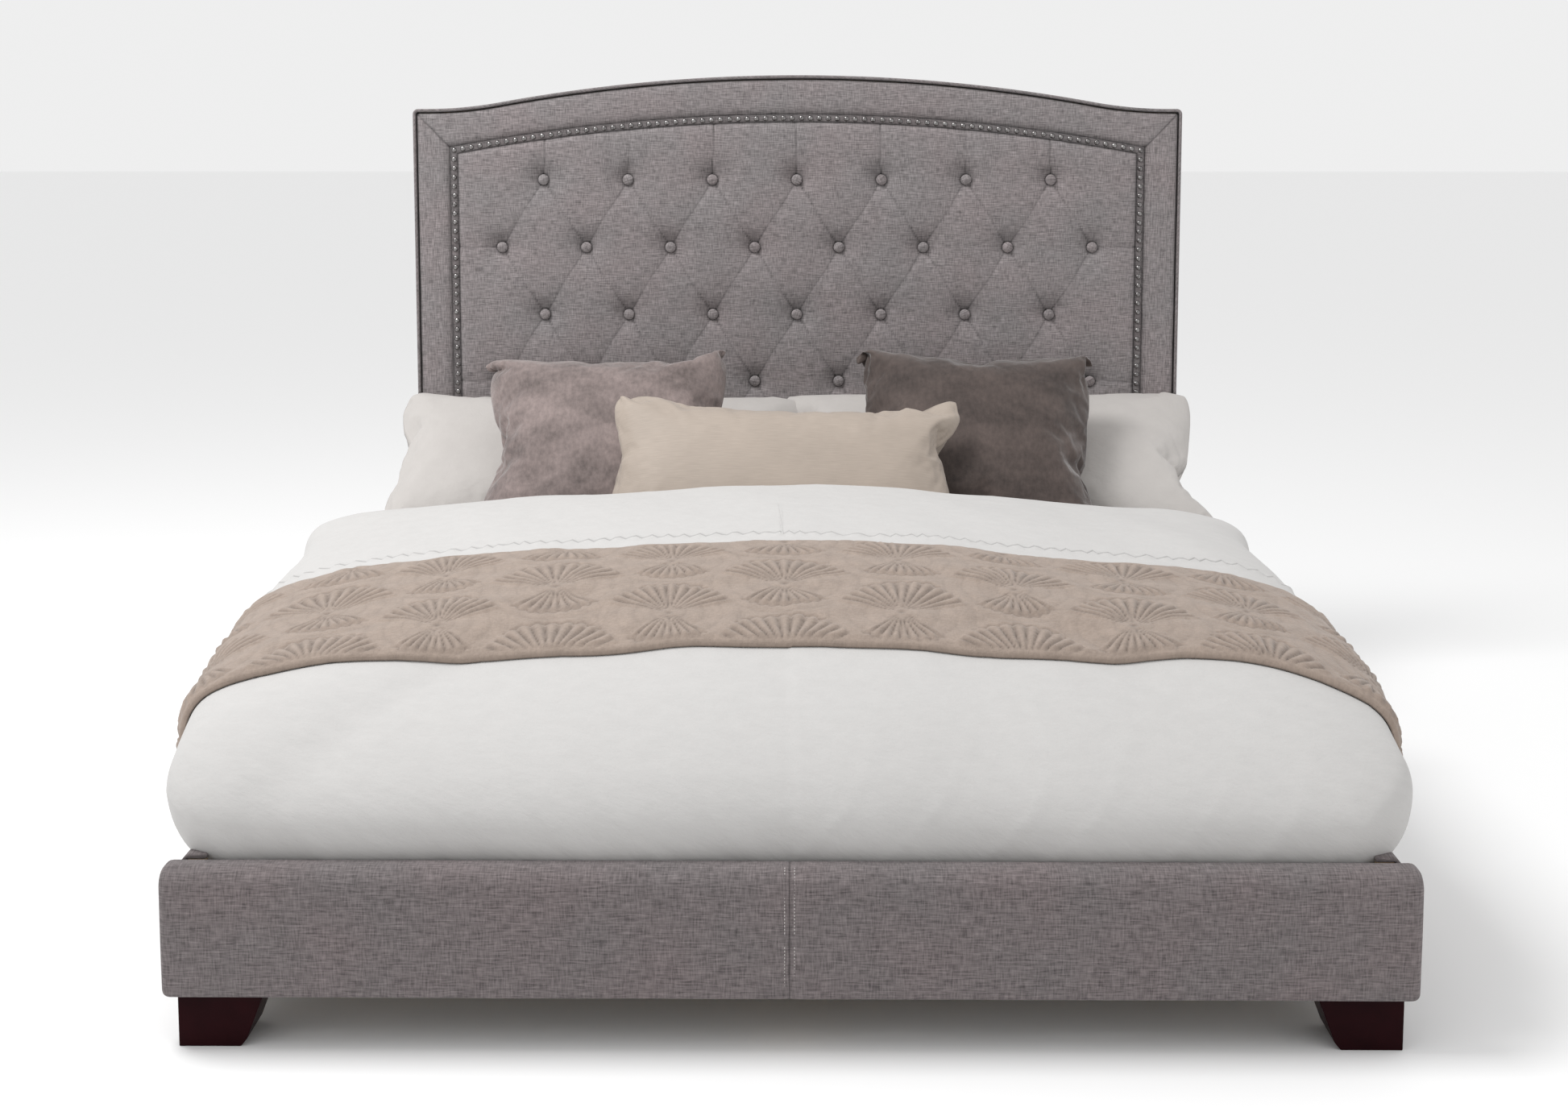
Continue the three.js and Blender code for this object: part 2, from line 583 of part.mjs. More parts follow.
// A pillow lying in X and Z, thick in Y: full corners, sides that pull in, a crowned middle.
function pillow(width, height, thickness, pull) {
  const across = 10;
  const up = 8;
  const faces = [];
  const points = [];
  const grid = (side) => {
    const index = [];
    for (let j = 0; j <= up; j += 1) {
      for (let i = 0; i <= across; i += 1) {
        const u = -1 + (2 * i) / across;
        const v = -1 + (2 * j) / up;
        const x = (width / 2) * u * (1 - pull * (1 - v * v) * Math.abs(u));
        const z = (height / 2) * v * (1 - pull * (1 - u * u) * Math.abs(v));
        const bulge = ((1 - u ** 4) * (1 - v ** 4)) ** PILLOW_CROWN;
        index.push(points.length);
        points.push(new THREE.Vector3(x, (side * thickness * bulge) / 2, z));
      }
    }
    return index;
  };
  for (const side of [-1, 1]) {
    const index = grid(side);
    for (let j = 0; j < up; j += 1) {
      for (let i = 0; i < across; i += 1) {
        const a = index[j * (across + 1) + i];
        const b = a + 1;
        const c = a + across + 1;
        const d = c + 1;
        if (side < 0) faces.push(a, b, d, a, d, c);
        else faces.push(a, d, b, a, c, d);
      }
    }
  }
  const geometry = new THREE.BufferGeometry().setFromPoints(points);
  geometry.setIndex(faces);
  return mergeVertices(geometry, 1e-3);
}

// Leans a pillow back by an angle in degrees and stands it on the mattress, its middle at x and y.
function leaning(geometry, x, y, lean, roll = 0) {
  geometry.rotateY(THREE.MathUtils.degToRad(roll)).rotateX(THREE.MathUtils.degToRad(-lean));
  geometry.computeBoundingBox();
  return geometry.translate(x, y, MATTRESS.top + GAP - geometry.boundingBox.min.z);
}

function bedding() {
  const { width, bottom, top } = MATTRESS;
  add('mattress',
    uprightRoundedBlock(-width / 2, width / 2, mattressFoot, mattressHead, bottom, top, MATTRESS.corner),
    fabric(COTTON));

  const room = DUVET.clearance;
  const hollow = uprightRoundedBlock(-width / 2 - room, width / 2 + room, mattressFoot - room, mattressHead + room,
    bottom, top + room, MATTRESS.corner);
  const outer = duvetLoaf(0);
  add('duvet', cut(outer, [hollow]), fabric(COTTON));

  const band = block(-BED_WIDTH, BED_WIDTH, RUNNER_BAND.foot, RUNNER_BAND.head, RUNNER_BAND.low, HEADBOARD.shoulder);
  const runner = solid(duvetLoaf(RUNNER_BAND.thickness))
    .intersect(solid(band))
    .subtract(solid(duvetLoaf(RUNNER_BAND.clearance)));
  add('bed_runner', fromSolid(runner), fabric(RUNNER));

  const sleeping = SLEEPING_PILLOW;
  for (const [side, word] of [[-1, 'left'], [1, 'right']]) {
    const shape = pillow(sleeping.width, sleeping.height, sleeping.thickness, sleeping.pull);
    add(`sleeping_pillow_${word}`, leaning(shape, side * sleeping.x, sleeping.y, sleeping.lean), fabric(COTTON));
  }
  const velvet = VELVET_CUSHION;
  for (const [word, x, roll] of [['left', velvet.leftX, -velvet.roll], ['right', velvet.rightX, velvet.roll]]) {
    const shape = pillow(velvet.side, velvet.side, velvet.thickness, velvet.pull);
    add(`velvet_cushion_${word}`, leaning(shape, x, velvet.y, velvet.lean, roll), fabric(TAUPE_VELVET));
  }
  const lumbar = LUMBAR_PILLOW;
  add('lumbar_pillow', leaning(pillow(lumbar.width, lumbar.height, lumbar.thickness, lumbar.pull),
    lumbar.x, lumbar.y, lumbar.lean, lumbar.roll), fabric(CHAMPAGNE));
}

headboard();
footboard();
sideRails();
mattressSupport();
bedding();

export default parts;
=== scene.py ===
"""Upholstered headboard bed: the visible surfaces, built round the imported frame.

Metres, +Z up. The foot end faces -Y and the headboard stands at +Y.
"""

import math
import random

import bpy
import numpy as np
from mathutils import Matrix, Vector


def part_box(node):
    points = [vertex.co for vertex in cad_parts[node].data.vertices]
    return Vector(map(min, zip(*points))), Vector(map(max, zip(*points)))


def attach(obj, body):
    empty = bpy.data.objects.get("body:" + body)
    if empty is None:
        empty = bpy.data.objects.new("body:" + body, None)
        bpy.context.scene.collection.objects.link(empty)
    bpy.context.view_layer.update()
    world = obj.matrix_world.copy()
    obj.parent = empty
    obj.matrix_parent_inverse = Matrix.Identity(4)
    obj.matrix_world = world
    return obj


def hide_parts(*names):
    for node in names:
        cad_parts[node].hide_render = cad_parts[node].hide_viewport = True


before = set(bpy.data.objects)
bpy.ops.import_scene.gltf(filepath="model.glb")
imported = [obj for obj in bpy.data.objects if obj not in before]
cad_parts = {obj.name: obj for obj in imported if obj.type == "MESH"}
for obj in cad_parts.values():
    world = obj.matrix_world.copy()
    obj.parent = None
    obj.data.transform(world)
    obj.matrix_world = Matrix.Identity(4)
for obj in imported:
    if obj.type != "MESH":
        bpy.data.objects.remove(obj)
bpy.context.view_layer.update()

BODY = "bed"
MM = 0.001


# ---------- materials ----------

class Shader:
    """A node material with one Principled shader, whose constant values sit on its own sockets."""

    def __init__(self, name, **values):
        self.material = bpy.data.materials.new(name)
        self.material.use_nodes = True
        self.tree = self.material.node_tree
        self.bsdf = self.tree.nodes["Principled BSDF"]
        for socket, value in values.items():
            self.bsdf.inputs[socket.replace("_", " ")].default_value = value

    def node(self, kind, *links, **settings):
        """Adds a node; settings are its properties, and links feed its inputs in order."""
        made = self.tree.nodes.new(kind)
        for key, value in settings.items():
            if hasattr(made, key):
                setattr(made, key, value)
            else:
                made.inputs[key.replace("_", " ")].default_value = value
        for position, source in links:
            self.link(source, made.inputs[position])
        return made

    def link(self, source, socket):
        """Feeds a socket from another node, or sets it to a number or a colour."""
        if isinstance(source, (int, float)):
            socket.default_value = source
        elif isinstance(source, tuple):
            socket.default_value = (*source, 1)
        else:
            self.tree.links.new(source, socket)

    def coordinates(self, source, scale):
        """The cloth's own coordinates, or the object's, in metres, times a scale along each axis."""
        if source == "cloth":
            place = self.node("ShaderNodeAttribute", attribute_name="cloth").outputs["Vector"]
        else:
            place = self.node("ShaderNodeTexCoord").outputs["Object"]
        return self.node("ShaderNodeMapping", (0, place), Scale=scale).outputs[0]

    def noise(self, source, scale, detail=2.0, roughness=0.5):
        """Noise from 0 to 1 with features of about 1/scale metres along each axis."""
        place = self.coordinates(source, scale)
        made = self.node("ShaderNodeTexNoise", (0, place), Scale=1.0, Detail=detail, Roughness=roughness)
        return made.outputs[0]

    def math(self, operation, a, b=0.0, c=0.0):
        return self.node("ShaderNodeMath", (0, a), (1, b), (2, c), operation=operation).outputs[0]

    def blend(self, *weighted):
        """The sum of values, each times its weight."""
        parts = [self.math("MULTIPLY", value, weight) for value, weight in weighted]
        total = parts[0]
        for part in parts[1:]:
            total = self.math("ADD", total, part)
        return total

    def weave(self, along, across):
        """Fine threads both ways, drawn out to 1/along metres and 1/across metres wide."""
        return self.math("ADD", self.noise("cloth", (along, across, along), 1.0),
                         self.noise("cloth", (across, along, along), 1.0))

    def spread(self, value, low, high):
        """A value from 0.3..0.7, the range that noise fills, spread over low..high."""
        made = self.node("ShaderNodeMapRange", (0, value))
        for index, number in zip((1, 2, 3, 4), (0.3, 0.7, low, high)):
            made.inputs[index].default_value = number
        return made.outputs[0]

    def ramp(self, value, *stops):
        """A colour from a value, through stops that are a place and a colour each."""
        made = self.node("ShaderNodeValToRGB", (0, value))
        band = made.color_ramp
        while len(band.elements) < len(stops):
            band.elements.new(0.5)
        for element, (place, colour) in zip(band.elements, stops):
            element.position = place
            element.color = (*colour, 1)
        return made.outputs[0]

    def scaled(self, colour, factor):
        """A colour, or a node's colour, times a grey factor."""
        grey = self.node("ShaderNodeCombineColor", (0, factor), (1, factor), (2, factor)).outputs[0]
        mixed = self.node("ShaderNodeMix", (0, 1.0), (6, colour), (7, grey),
                          data_type="RGBA", blend_type="MULTIPLY")
        return mixed.outputs[2]

    def shade(self, colour):
        """Darkens a colour by the piece's painted shade value: shade painted into creases, seams, grooves and
        hollows.
        """
        painted_shade = self.node("ShaderNodeAttribute", attribute_name="painted_shade").outputs["Fac"]
        return self.scaled(colour, self.math("SUBTRACT", 1.0, painted_shade))

    def finish(self, colour, height, distance, roughness=None):
        """Connects the colour, a bump of a given depth in metres and, where it varies, the roughness."""
        self.link(colour, self.bsdf.inputs["Base Color"])
        bump = self.node("ShaderNodeBump", Strength=1.0, Distance=distance)
        self.link(height, bump.inputs["Height"])
        self.link(bump.outputs[0], self.bsdf.inputs["Normal"])
        if roughness is not None:
            self.link(roughness, self.bsdf.inputs["Roughness"])
        return self.material


def tinted(colour, factor):
    return tuple(channel * factor for channel in colour)


def linen(name, colour, contrast=0.72):
    """Slubby weave: long thin threads of uneven tone running both ways, and a cooler and a warmer cast."""
    s = Shader(name, Roughness=0.92, Sheen_Weight=0.12, Sheen_Roughness=0.5, Specular_IOR_Level=0.25)
    weft = s.noise("cloth", (50, 480, 50), 3.0)
    warp = s.noise("cloth", (480, 56, 56), 3.0)
    slub = s.noise("cloth", (22, 300, 22), 2.0)
    tone = s.spread(s.blend((weft, 0.44), (warp, 0.38), (slub, 0.18)), 1 - contrast, 1 + contrast)
    cast = s.ramp(s.noise("cloth", (7, 7, 7)), (0.35, tinted(colour, 0.97)),
                  (0.65, (colour[0] * 1.03, colour[1] * 0.985, colour[2] * 0.985)))
    return s.finish(s.shade(s.scaled(cast, tone)), s.weave(70, 1300), 0.0006)


def cotton(name, colour, contrast=0.02):
    """Percale: an even fine weave with faint crumples."""
    s = Shader(name, Roughness=0.9, Sheen_Weight=0.1, Specular_IOR_Level=0.2)
    crumple = s.noise("cloth", (28, 28, 28), 4.0, 0.6)
    height = s.blend((s.weave(200, 1700), 0.12), (crumple, 1.6))
    tone = s.spread(crumple, 1 - contrast, 1 + contrast)
    return s.finish(s.shade(s.scaled(colour, tone)), height, 0.0012)


def velvet(name, colour):
    """Short pile, brushed both ways in soft patches, lighter where it stands up."""
    s = Shader(name, Roughness=0.75, Sheen_Weight=0.55, Sheen_Roughness=0.35, Specular_IOR_Level=0.3)
    patches = s.noise("cloth", (8, 13, 9), 5.0, 0.62)
    streaks = s.noise("cloth", (130, 60, 130), 3.0, 0.65)
    tone = s.spread(s.blend((patches, 0.7), (streaks, 0.3)), 0.36, 1.64)
    pile = s.noise("cloth", (900, 900, 900), 1.0)
    height = s.blend((pile, 0.5), (patches, 1.2))
    return s.finish(s.shade(s.scaled(colour, tone)), height, 0.0008)


def silk(name, colour):
    """Faux silk with a soft sheen and fine crosswise slubs."""
    s = Shader(name, Roughness=0.55, Sheen_Weight=0.25, Sheen_Roughness=0.4, Specular_IOR_Level=0.35)
    slub = s.noise("cloth", (30, 900, 30), 3.0)
    cloud = s.noise("cloth", (10, 10, 10), 3.0)
    tone = s.math("MULTIPLY", s.spread(slub, 0.93, 1.07), s.spread(cloud, 0.95, 1.05))
    return s.finish(s.shade(s.scaled(colour, tone)), slub, 0.0003)


def quilted_cotton(name, colour):
    """Washed cotton of the runner, faintly clouded and stippled."""
    s = Shader(name, Roughness=0.8, Sheen_Weight=0.2, Specular_IOR_Level=0.25)
    cloud = s.noise("cloth", (35, 35, 35), 4.0, 0.6)
    threads = s.weave(60, 1100)
    stipple = s.noise("cloth", (190, 190, 190), 2.0, 0.6)
    tone = s.math("MULTIPLY", s.spread(cloud, 0.9, 1.1), s.spread(stipple, 0.93, 1.07))
    height = s.blend((threads, 0.3), (stipple, 1.0))
    return s.finish(s.shade(s.scaled(colour, tone)), height, 0.0012)


def grained(name, dark, light, scale, roughness, specular=0.4, bump=0.0002):
    """Timber with grain along one axis, given as a scale along X, Y and Z."""
    s = Shader(name, Specular_IOR_Level=specular)
    grain = s.noise("object", scale, 5.0, 0.6)
    colour = s.ramp(grain, (0.3, dark), (0.7, light))
    return s.finish(colour, grain, bump, s.spread(grain, roughness - 0.06, roughness + 0.08))


def metal(name, dark, light, roughness):
    """Plated metal with faint clouding."""
    s = Shader(name, Metallic=1.0)
    cloud = s.noise("object", (160, 160, 160), 3.0)
    return s.finish(s.ramp(cloud, (0.3, dark), (0.7, light)), cloud, 0.00005,
                    s.spread(cloud, roughness - 0.07, roughness + 0.1))


def plain_matt(name, colour, scale, bump, roughness=0.9):
    """Moulded or felted material with a fine even texture."""
    s = Shader(name, Specular_IOR_Level=0.3)
    grain = s.noise("object", (scale, scale, scale), 2.0)
    tone = s.ramp(grain, (0.3, tinted(colour, 0.8)), (0.7, tinted(colour, 1.2)))
    return s.finish(tone, grain, bump, s.spread(grain, roughness - 0.08, min(1.0, roughness + 0.08)))


GREY = (0.244, 0.225, 0.226)
LINEN_HEAD = linen("linen_headboard", GREY)
# The footboard and rail covers use the headboard's linen made darker, as painted shade on these lower,
# front-facing parts.
LINEN_LOW_PAINTED_SHADE = linen("linen_rails_painted_shade", (0.168, 0.149, 0.150))
# The welt cord uses the same linen a little darker, as painted shade.
LINEN_WELT_PAINTED_SHADE = linen("linen_welt_painted_shade", tinted(GREY, 0.85))
WHITE = cotton("white_cotton", (0.548, 0.538, 0.528))
SHAM = cotton("pillow_cotton", (0.50, 0.475, 0.455))
TICKING = cotton("mattress_ticking", (0.60, 0.59, 0.575))
# One taupe velvet in two copies: lighter on the left cushion as painted light, darker on the right one as
# painted shade.
VELVET_LEFT_PAINTED_LIGHT = velvet("taupe_velvet_left_painted_light", (0.205, 0.164, 0.155))
VELVET_RIGHT_PAINTED_SHADE = velvet("taupe_velvet_right_painted_shade", (0.074, 0.056, 0.050))
CHAMPAGNE = silk("champagne_silk", (0.385, 0.325, 0.275))
RUNNER = quilted_cotton("runner_cotton", (0.322, 0.256, 0.214))
THREAD = plain_matt("pale_thread", (0.50, 0.47, 0.46), 3000, 0.0001)
NICKEL = metal("aged_nickel", (0.15, 0.14, 0.14), (0.34, 0.33, 0.325), 0.22)
ZINC = metal("zinc_plate", (0.42, 0.43, 0.44), (0.58, 0.59, 0.60), 0.38)
ESPRESSO = grained("espresso_stain", (0.010, 0.0018, 0.0026), (0.019, 0.0032, 0.0045), (14, 140, 14),
                   0.38, 0.05)
PLYWOOD = grained("birch_ply", (0.44, 0.30, 0.17), (0.60, 0.45, 0.28), (6, 60, 60), 0.62)
PINE_ALONG_X = grained("pine_along_x", (0.50, 0.35, 0.19), (0.68, 0.52, 0.32), (4, 70, 90), 0.6)
PINE_ALONG_Y = grained("pine_along_y", (0.50, 0.35, 0.19), (0.68, 0.52, 0.32), (70, 4, 90), 0.6)
PINE_ALONG_Z = grained("pine_along_z", (0.50, 0.35, 0.19), (0.68, 0.52, 0.32), (70, 90, 4), 0.6)
GLIDE = plain_matt("black_nylon", (0.03, 0.03, 0.03), 700, 0.0001, 0.55)
DUST_COVER = plain_matt("black_nonwoven", (0.028, 0.027, 0.027), 420, 0.0003)


# ---------- mesh helpers ----------

def piece(name, verts, faces, material, replaces=(), cloth=None, painted_shade=None, smooth=True):
    """A mesh piece that rides on the bed, with its cloth coordinates and its painted shade."""
    mesh = bpy.data.meshes.new(name)
    mesh.from_pydata(np.asarray(verts, float).tolist(), [], faces)
    mesh.validate()
    count = len(mesh.vertices)
    if cloth is None:
        cloth = np.asarray(verts, float)
    values = np.zeros((count, 3), np.float32)
    values[:, :np.shape(cloth)[1]] = cloth
    mesh.attributes.new("cloth", "FLOAT_VECTOR", "POINT").data.foreach_set("vector", values.ravel())
    dark = np.zeros(count, np.float32) if painted_shade is None else np.asarray(painted_shade, np.float32)
    mesh.attributes.new("painted_shade", "FLOAT", "POINT").data.foreach_set("value", dark)
    mesh.polygons.foreach_set("use_smooth", [smooth] * len(mesh.polygons))
    mesh.materials.append(material)
    mesh.update()
    obj = bpy.data.objects.new(name, mesh)
    bpy.context.scene.collection.objects.link(obj)
    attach(obj, BODY)
    if replaces:
        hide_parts(*replaces)
    return obj


def grid_faces(rows, cols, offset=0, close_rows=False, close_cols=False, flip=False):
    """Quads over a grid of rows x cols points, optionally closed round either way."""
    row = np.arange(rows if close_rows else rows - 1)
    col = np.arange(cols if close_cols else cols - 1)
    r, c = np.meshgrid(row, col, indexing="ij")
    r2, c2 = (r + 1) % rows, (c + 1) % cols
    quads = np.stack([r * cols + c, r * cols + c2, r2 * cols + c2, r2 * cols + c], -1).reshape(-1, 4) + offset
    return (quads[:, ::-1] if flip else quads).tolist()


def loft(rings, caps=True, flip=False):
    """Vertices and faces of a skin over closed rings, capped at both ends."""
    rings = np.asarray(rings, float)
    n, m, _ = rings.shape
    faces = grid_faces(n, m, close_cols=True, flip=flip)
    if caps:
        first, last = list(range(m)), list(range((n - 1) * m, n * m))
        faces += [first[::-1], last] if not flip else [first, last[::-1]]
    return rings.reshape(-1, 3), faces


def slab(front, back_y, flip=False):
    """A closed pad: a front grid of points, walls down to y = back_y, and a flat back."""
    front = np.asarray(front, float)
    r, c, _ = front.shape
    edges = front[:, [0, -1], :].copy()
    edges[:, :, 1] = back_y
    faces = grid_faces(r, c, flip=flip)
    base = r * c
    walls = []
    for i in range(r - 1):
        walls.append([i * c, (i + 1) * c, base + 2 * (i + 1), base + 2 * i])
        walls.append([(i + 1) * c + c - 1, i * c + c - 1, base + 2 * i + 1, base + 2 * (i + 1) + 1])
        walls.append([base + 2 * i, base + 2 * (i + 1), base + 2 * (i + 1) + 1, base + 2 * i + 1])
    walls.append(list(range(c)) + [base + 1, base])
    last = (r - 1) * c
    walls.append(list(range(last, last + c))[::-1] + [base + 2 * (r - 1), base + 2 * (r - 1) + 1])
    if flip:
        walls = [w[::-1] for w in walls]
    return np.concatenate([front.reshape(-1, 3), edges.reshape(-1, 3)]), faces + walls


def merge(parts):
    """Several (vertices, faces) as one."""
    verts, faces, offset = [], [], 0
    for v, f in parts:
        verts.append(v)
        faces += [[i + offset for i in face] for face in f]
        offset += len(v)
    return np.concatenate(verts), faces


def rounded_section(half_w, half_h, radii, side=6, arc=7):
    """A rounded rectangle round (0, 0), anticlockwise from the lower right, with four corner radii:
    lower right, upper right, upper left, lower left."""
    points = []
    corners = [(half_w, -half_h, -90), (half_w, half_h, 0), (-half_w, half_h, 90), (-half_w, -half_h, 180)]
    for (x, z, start), r in zip(corners, radii):
        cx, cz = x - math.copysign(r, x), z - math.copysign(r, z)
        for i in range(arc):
            a = math.radians(start + 90 * i / (arc - 1))
            points.append((cx + r * math.cos(a), cz + r * math.sin(a)))
    full = []
    for i, p in enumerate(points):
        full.append(p)
        if i % arc == arc - 1:
            q = points[(i + 1) % len(points)]
            full += [(p[0] + (q[0] - p[0]) * k / side, p[1] + (q[1] - p[1]) * k / side)
                     for k in range(1, side)]
    return np.array(full)


def circle(count):
    """Equally spaced angles all the way round."""
    return np.linspace(0, 2 * math.pi, count, endpoint=False)


def around(points):
    """Distance along a polyline, from its first point."""
    steps = np.linalg.norm(np.diff(points, axis=0), axis=1)
    return np.concatenate([[0.0], np.cumsum(steps)])


def resample(points, count):
    """The same polyline with a given number of points at equal distances."""
    points = np.asarray(points, float)
    along = around(points)
    wanted = np.linspace(0, along[-1], count)
    return np.stack([np.interp(wanted, along, points[:, k]) for k in range(points.shape[1])], 1)


def outward_normals(line):
    """Unit normals of a closed line that runs anticlockwise."""
    t = np.roll(line, -1, 0) - np.roll(line, 1, 0)
    t /= np.linalg.norm(t, axis=1)[:, None]
    return np.stack([t[:, 1], -t[:, 0]], 1)


def end_inset(distance, radius):
    """How far a rounded end pulls in at a distance from its tip."""
    left = np.clip(radius - distance, 0, radius)
    return radius - np.sqrt(radius ** 2 - left ** 2)


def waves(u, v, wavelength, seed, count=8):
    """A smooth uneven field, about -1 to 1, made of crossing waves."""
    rng = random.Random(seed)
    total = np.zeros(np.broadcast(u, v).shape)
    for _ in range(count):
        turn, phase = rng.uniform(0, math.pi), rng.uniform(0, 2 * math.pi)
        k = 2 * math.pi / (wavelength * rng.uniform(0.7, 1.5))
        total += np.sin(k * (u * math.cos(turn) + v * math.sin(turn)) + phase)
    return total / math.sqrt(count)


def smooth_step(low, high, value):
    """0 below low, 1 above high and a smooth run between."""
    t = np.clip((value - low) / (high - low), 0, 1)
    return t * t * (3 - 2 * t)


# ---------- headboard ----------

board_lo, board_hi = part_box("headboard_edge_band")
cover_lo, cover_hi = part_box("headboard_back_cover")
pad_lo, pad_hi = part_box("headboard_lower_pad")
strip_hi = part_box("headboard_nail_strip")[1]
HALF = board_hi.x
CREST = board_hi.z
SHOULDER = 1.248
FLAT_FROM, BLEND_FROM = 0.800, 0.640
CORNER = 0.012
HEAD_BOTTOM = board_lo.z
HEAD_FRONT = pad_lo.y
PAD_BACK = pad_hi.y
PAD_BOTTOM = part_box("headboard_tufted_pad")[0].z
BAND = 0.008
STRIP_HALF = 0.0085
STRIP_X = strip_hi.x - STRIP_HALF
STRIP_RISE = 0.069
STRIP_TOP = strip_hi.z - STRIP_HALF
BORDER_FACE = HEAD_FRONT - 1.0 * MM
TUFT_FACE = HEAD_FRONT - 5 * MM
BUTTON_SEAT = TUFT_FACE + 12.5 * MM
NAIL_BAND_FACE = HEAD_FRONT + 3.2 * MM
NAIL_SEAT = HEAD_FRONT + 3.4 * MM
WELT_Y, WELT_INSET, WELT_RADIUS, WELT_GIRTH = HEAD_FRONT + 3.2 * MM, 3.6 * MM, 3.3 * MM, 21 * MM
WELT_SIDES = 12


def crest(x):
    """Height of the headboard's top edge: a long arc that runs out into flat shoulders."""
    d = np.minimum(np.abs(x), FLAT_FROM)
    slope = 2 * (CREST - SHOULDER) / FLAT_FROM
    middle = CREST - slope * d ** 2 / (2 * BLEND_FROM)
    outer = SHOULDER + slope * (FLAT_FROM - d) ** 2 / (2 * (FLAT_FROM - BLEND_FROM))
    return np.where(d <= BLEND_FROM, middle, outer)


def nail_line(x, offset=0.0):
    """Height of the nail line: one shallow arc."""
    return STRIP_TOP + offset - STRIP_RISE * (x / STRIP_X) ** 2


def outline(bottom, side=60, arc=9, top=240):
    """The left side, the left corner's arc and the crest of the headboard's outline, as separate lines."""
    left = [(-HALF, z) for z in np.linspace(bottom, SHOULDER - CORNER, side)]
    turn = [(-HALF + CORNER - CORNER * math.cos(a), SHOULDER - CORNER + CORNER * math.sin(a))
            for a in np.linspace(0, math.pi / 2, arc)]
    xs = np.linspace(-HALF + CORNER, HALF - CORNER, top)
    crown = list(zip(xs, crest(xs)))
    return [np.array(p) for p in (left, turn, crown)]


def whole_outline(bottom):
    """The headboard's outline from the lower left, over the crest, to the lower right."""
    left, turn, crown = outline(bottom)
    half = np.concatenate([left, turn[1:]])
    right = half[::-1] * (-1, 1)
    return np.concatenate([half, crown[1:-1], right])


def normals(points):
    """Unit normals in the plane, to the left of the direction of travel."""
    t = np.gradient(points, axis=0)
    t /= np.linalg.norm(t, axis=1)[:, None]
    return np.stack([-t[:, 1], t[:, 0]], 1)


def inset_line(points, inset):
    """The line moved to the right of its direction of travel, which is into the headboard."""
    return points - normals(points) * inset


def tube_along(points, y, radius, sides):
    """A round cord along a line in the X-Z plane, at depth y."""
    n = normals(points)
    angles = circle(sides)
    rings = np.empty((len(points), sides, 3))
    rings[:, :, 0] = points[:, :1] + n[:, :1] * radius * np.cos(angles)
    rings[:, :, 2] = points[:, 1:] + n[:, 1:] * radius * np.cos(angles)
    rings[:, :, 1] = y + radius * np.sin(angles)
    return loft(rings, flip=True)


def border(name, node, outer, inner, mitres):
    """A padded border strip between an outer and an inner line, drawn in at its long edges and its mitres."""
    across = 26
    t = (1 - np.cos(np.linspace(0, math.pi, across))) / 2
    width = np.linalg.norm(outer - inner, axis=1)[:, None]
    flat = inner[:, None, :] + (outer - inner)[:, None, :] * t[None, :, None]
    along = around((outer + inner) / 2)[:, None] + 0 * t
    from_inner, from_outer = width * t, width * (1 - t)
    depth = 7.5 * MM * np.exp(-from_inner / (9 * MM)) + 6.5 * MM * np.exp(-from_outer / (4.5 * MM))
    # dark is painted shade in the grooves at the border's inner edge by the nails and its outer edge by the
    # welt.
    dark = 0.5 * np.exp(-from_inner / (5 * MM)) + 0.75 * np.exp(-from_outer / (2.2 * MM))
    for end in mitres:
        line = flat[end]
        a, b = line[0], line[-1]
        away = (flat[..., 0] - a[0]) * (b[1] - a[1]) - (flat[..., 1] - a[1]) * (b[0] - a[0])
        d = np.abs(away) / np.linalg.norm(b - a)
        depth += 0.9 * MM * np.exp(-d / (2.0 * MM))
        # Painted shade along the mitre line.
        dark += 0.35 * np.exp(-d / (1.2 * MM))
    depth += 0.5 * MM * waves(flat[..., 0], flat[..., 1], 0.16, name)
    grid = np.stack([flat[..., 0], BORDER_FACE + depth, flat[..., 1]], -1)
    verts, faces = slab(grid, PAD_BACK)
    pad = len(verts) - along.size
    if node.endswith("top"):
        cloth = verts[:, [0, 2]]
    else:
        cloth = verts[:, [2, 0]] + (0.37, 0.11)
    painted_shade = np.concatenate([np.clip(dark, 0, 0.85).ravel(), np.zeros(pad)])
    return piece(name, verts, faces, LINEN_HEAD, [node], cloth, painted_shade)


def headboard_borders():
    """The left, right and top border pads, which meet at mitres in the upper corners."""
    left, turn, crown = outline(PAD_BOTTOM, side=110)
    half_turn = turn[:len(turn) // 2 + 1]
    rest_turn = turn[len(turn) // 2:]
    edge = BAND + 1.6 * MM
    side_outer = inset_line(np.concatenate([left, half_turn[1:]]), edge)
    side_outer = resample(side_outer, 150)
    inner_x = STRIP_X + STRIP_HALF
    corner_z = float(nail_line(inner_x, STRIP_HALF))
    side_inner = resample([(-inner_x, PAD_BOTTOM), (-inner_x, corner_z)], 150)
    border("headboard_border_left_cover", "headboard_border_left", side_outer, side_inner, [-1])
    mirror = np.array((-1, 1))
    border("headboard_border_right_cover", "headboard_border_right",
           (side_outer * mirror)[::-1], (side_inner * mirror)[::-1], [0])
    right_turn = (rest_turn * mirror)[::-1]
    top = np.concatenate([rest_turn, crown[1:-1], right_turn])
    top_outer = resample(inset_line(top, edge), 300)
    xs = np.linspace(-inner_x, inner_x, 600)
    top_inner = resample(np.stack([xs, nail_line(xs, STRIP_HALF)], 1), 300)
    border("headboard_border_top_cover", "headboard_border_top", top_outer, top_inner, [0, -1])


PITCH = 0.183
ROW_TOP, ROW_STEP, ROWS = 1.096, 0.146, 5
BUTTON_RADIUS = 0.0115


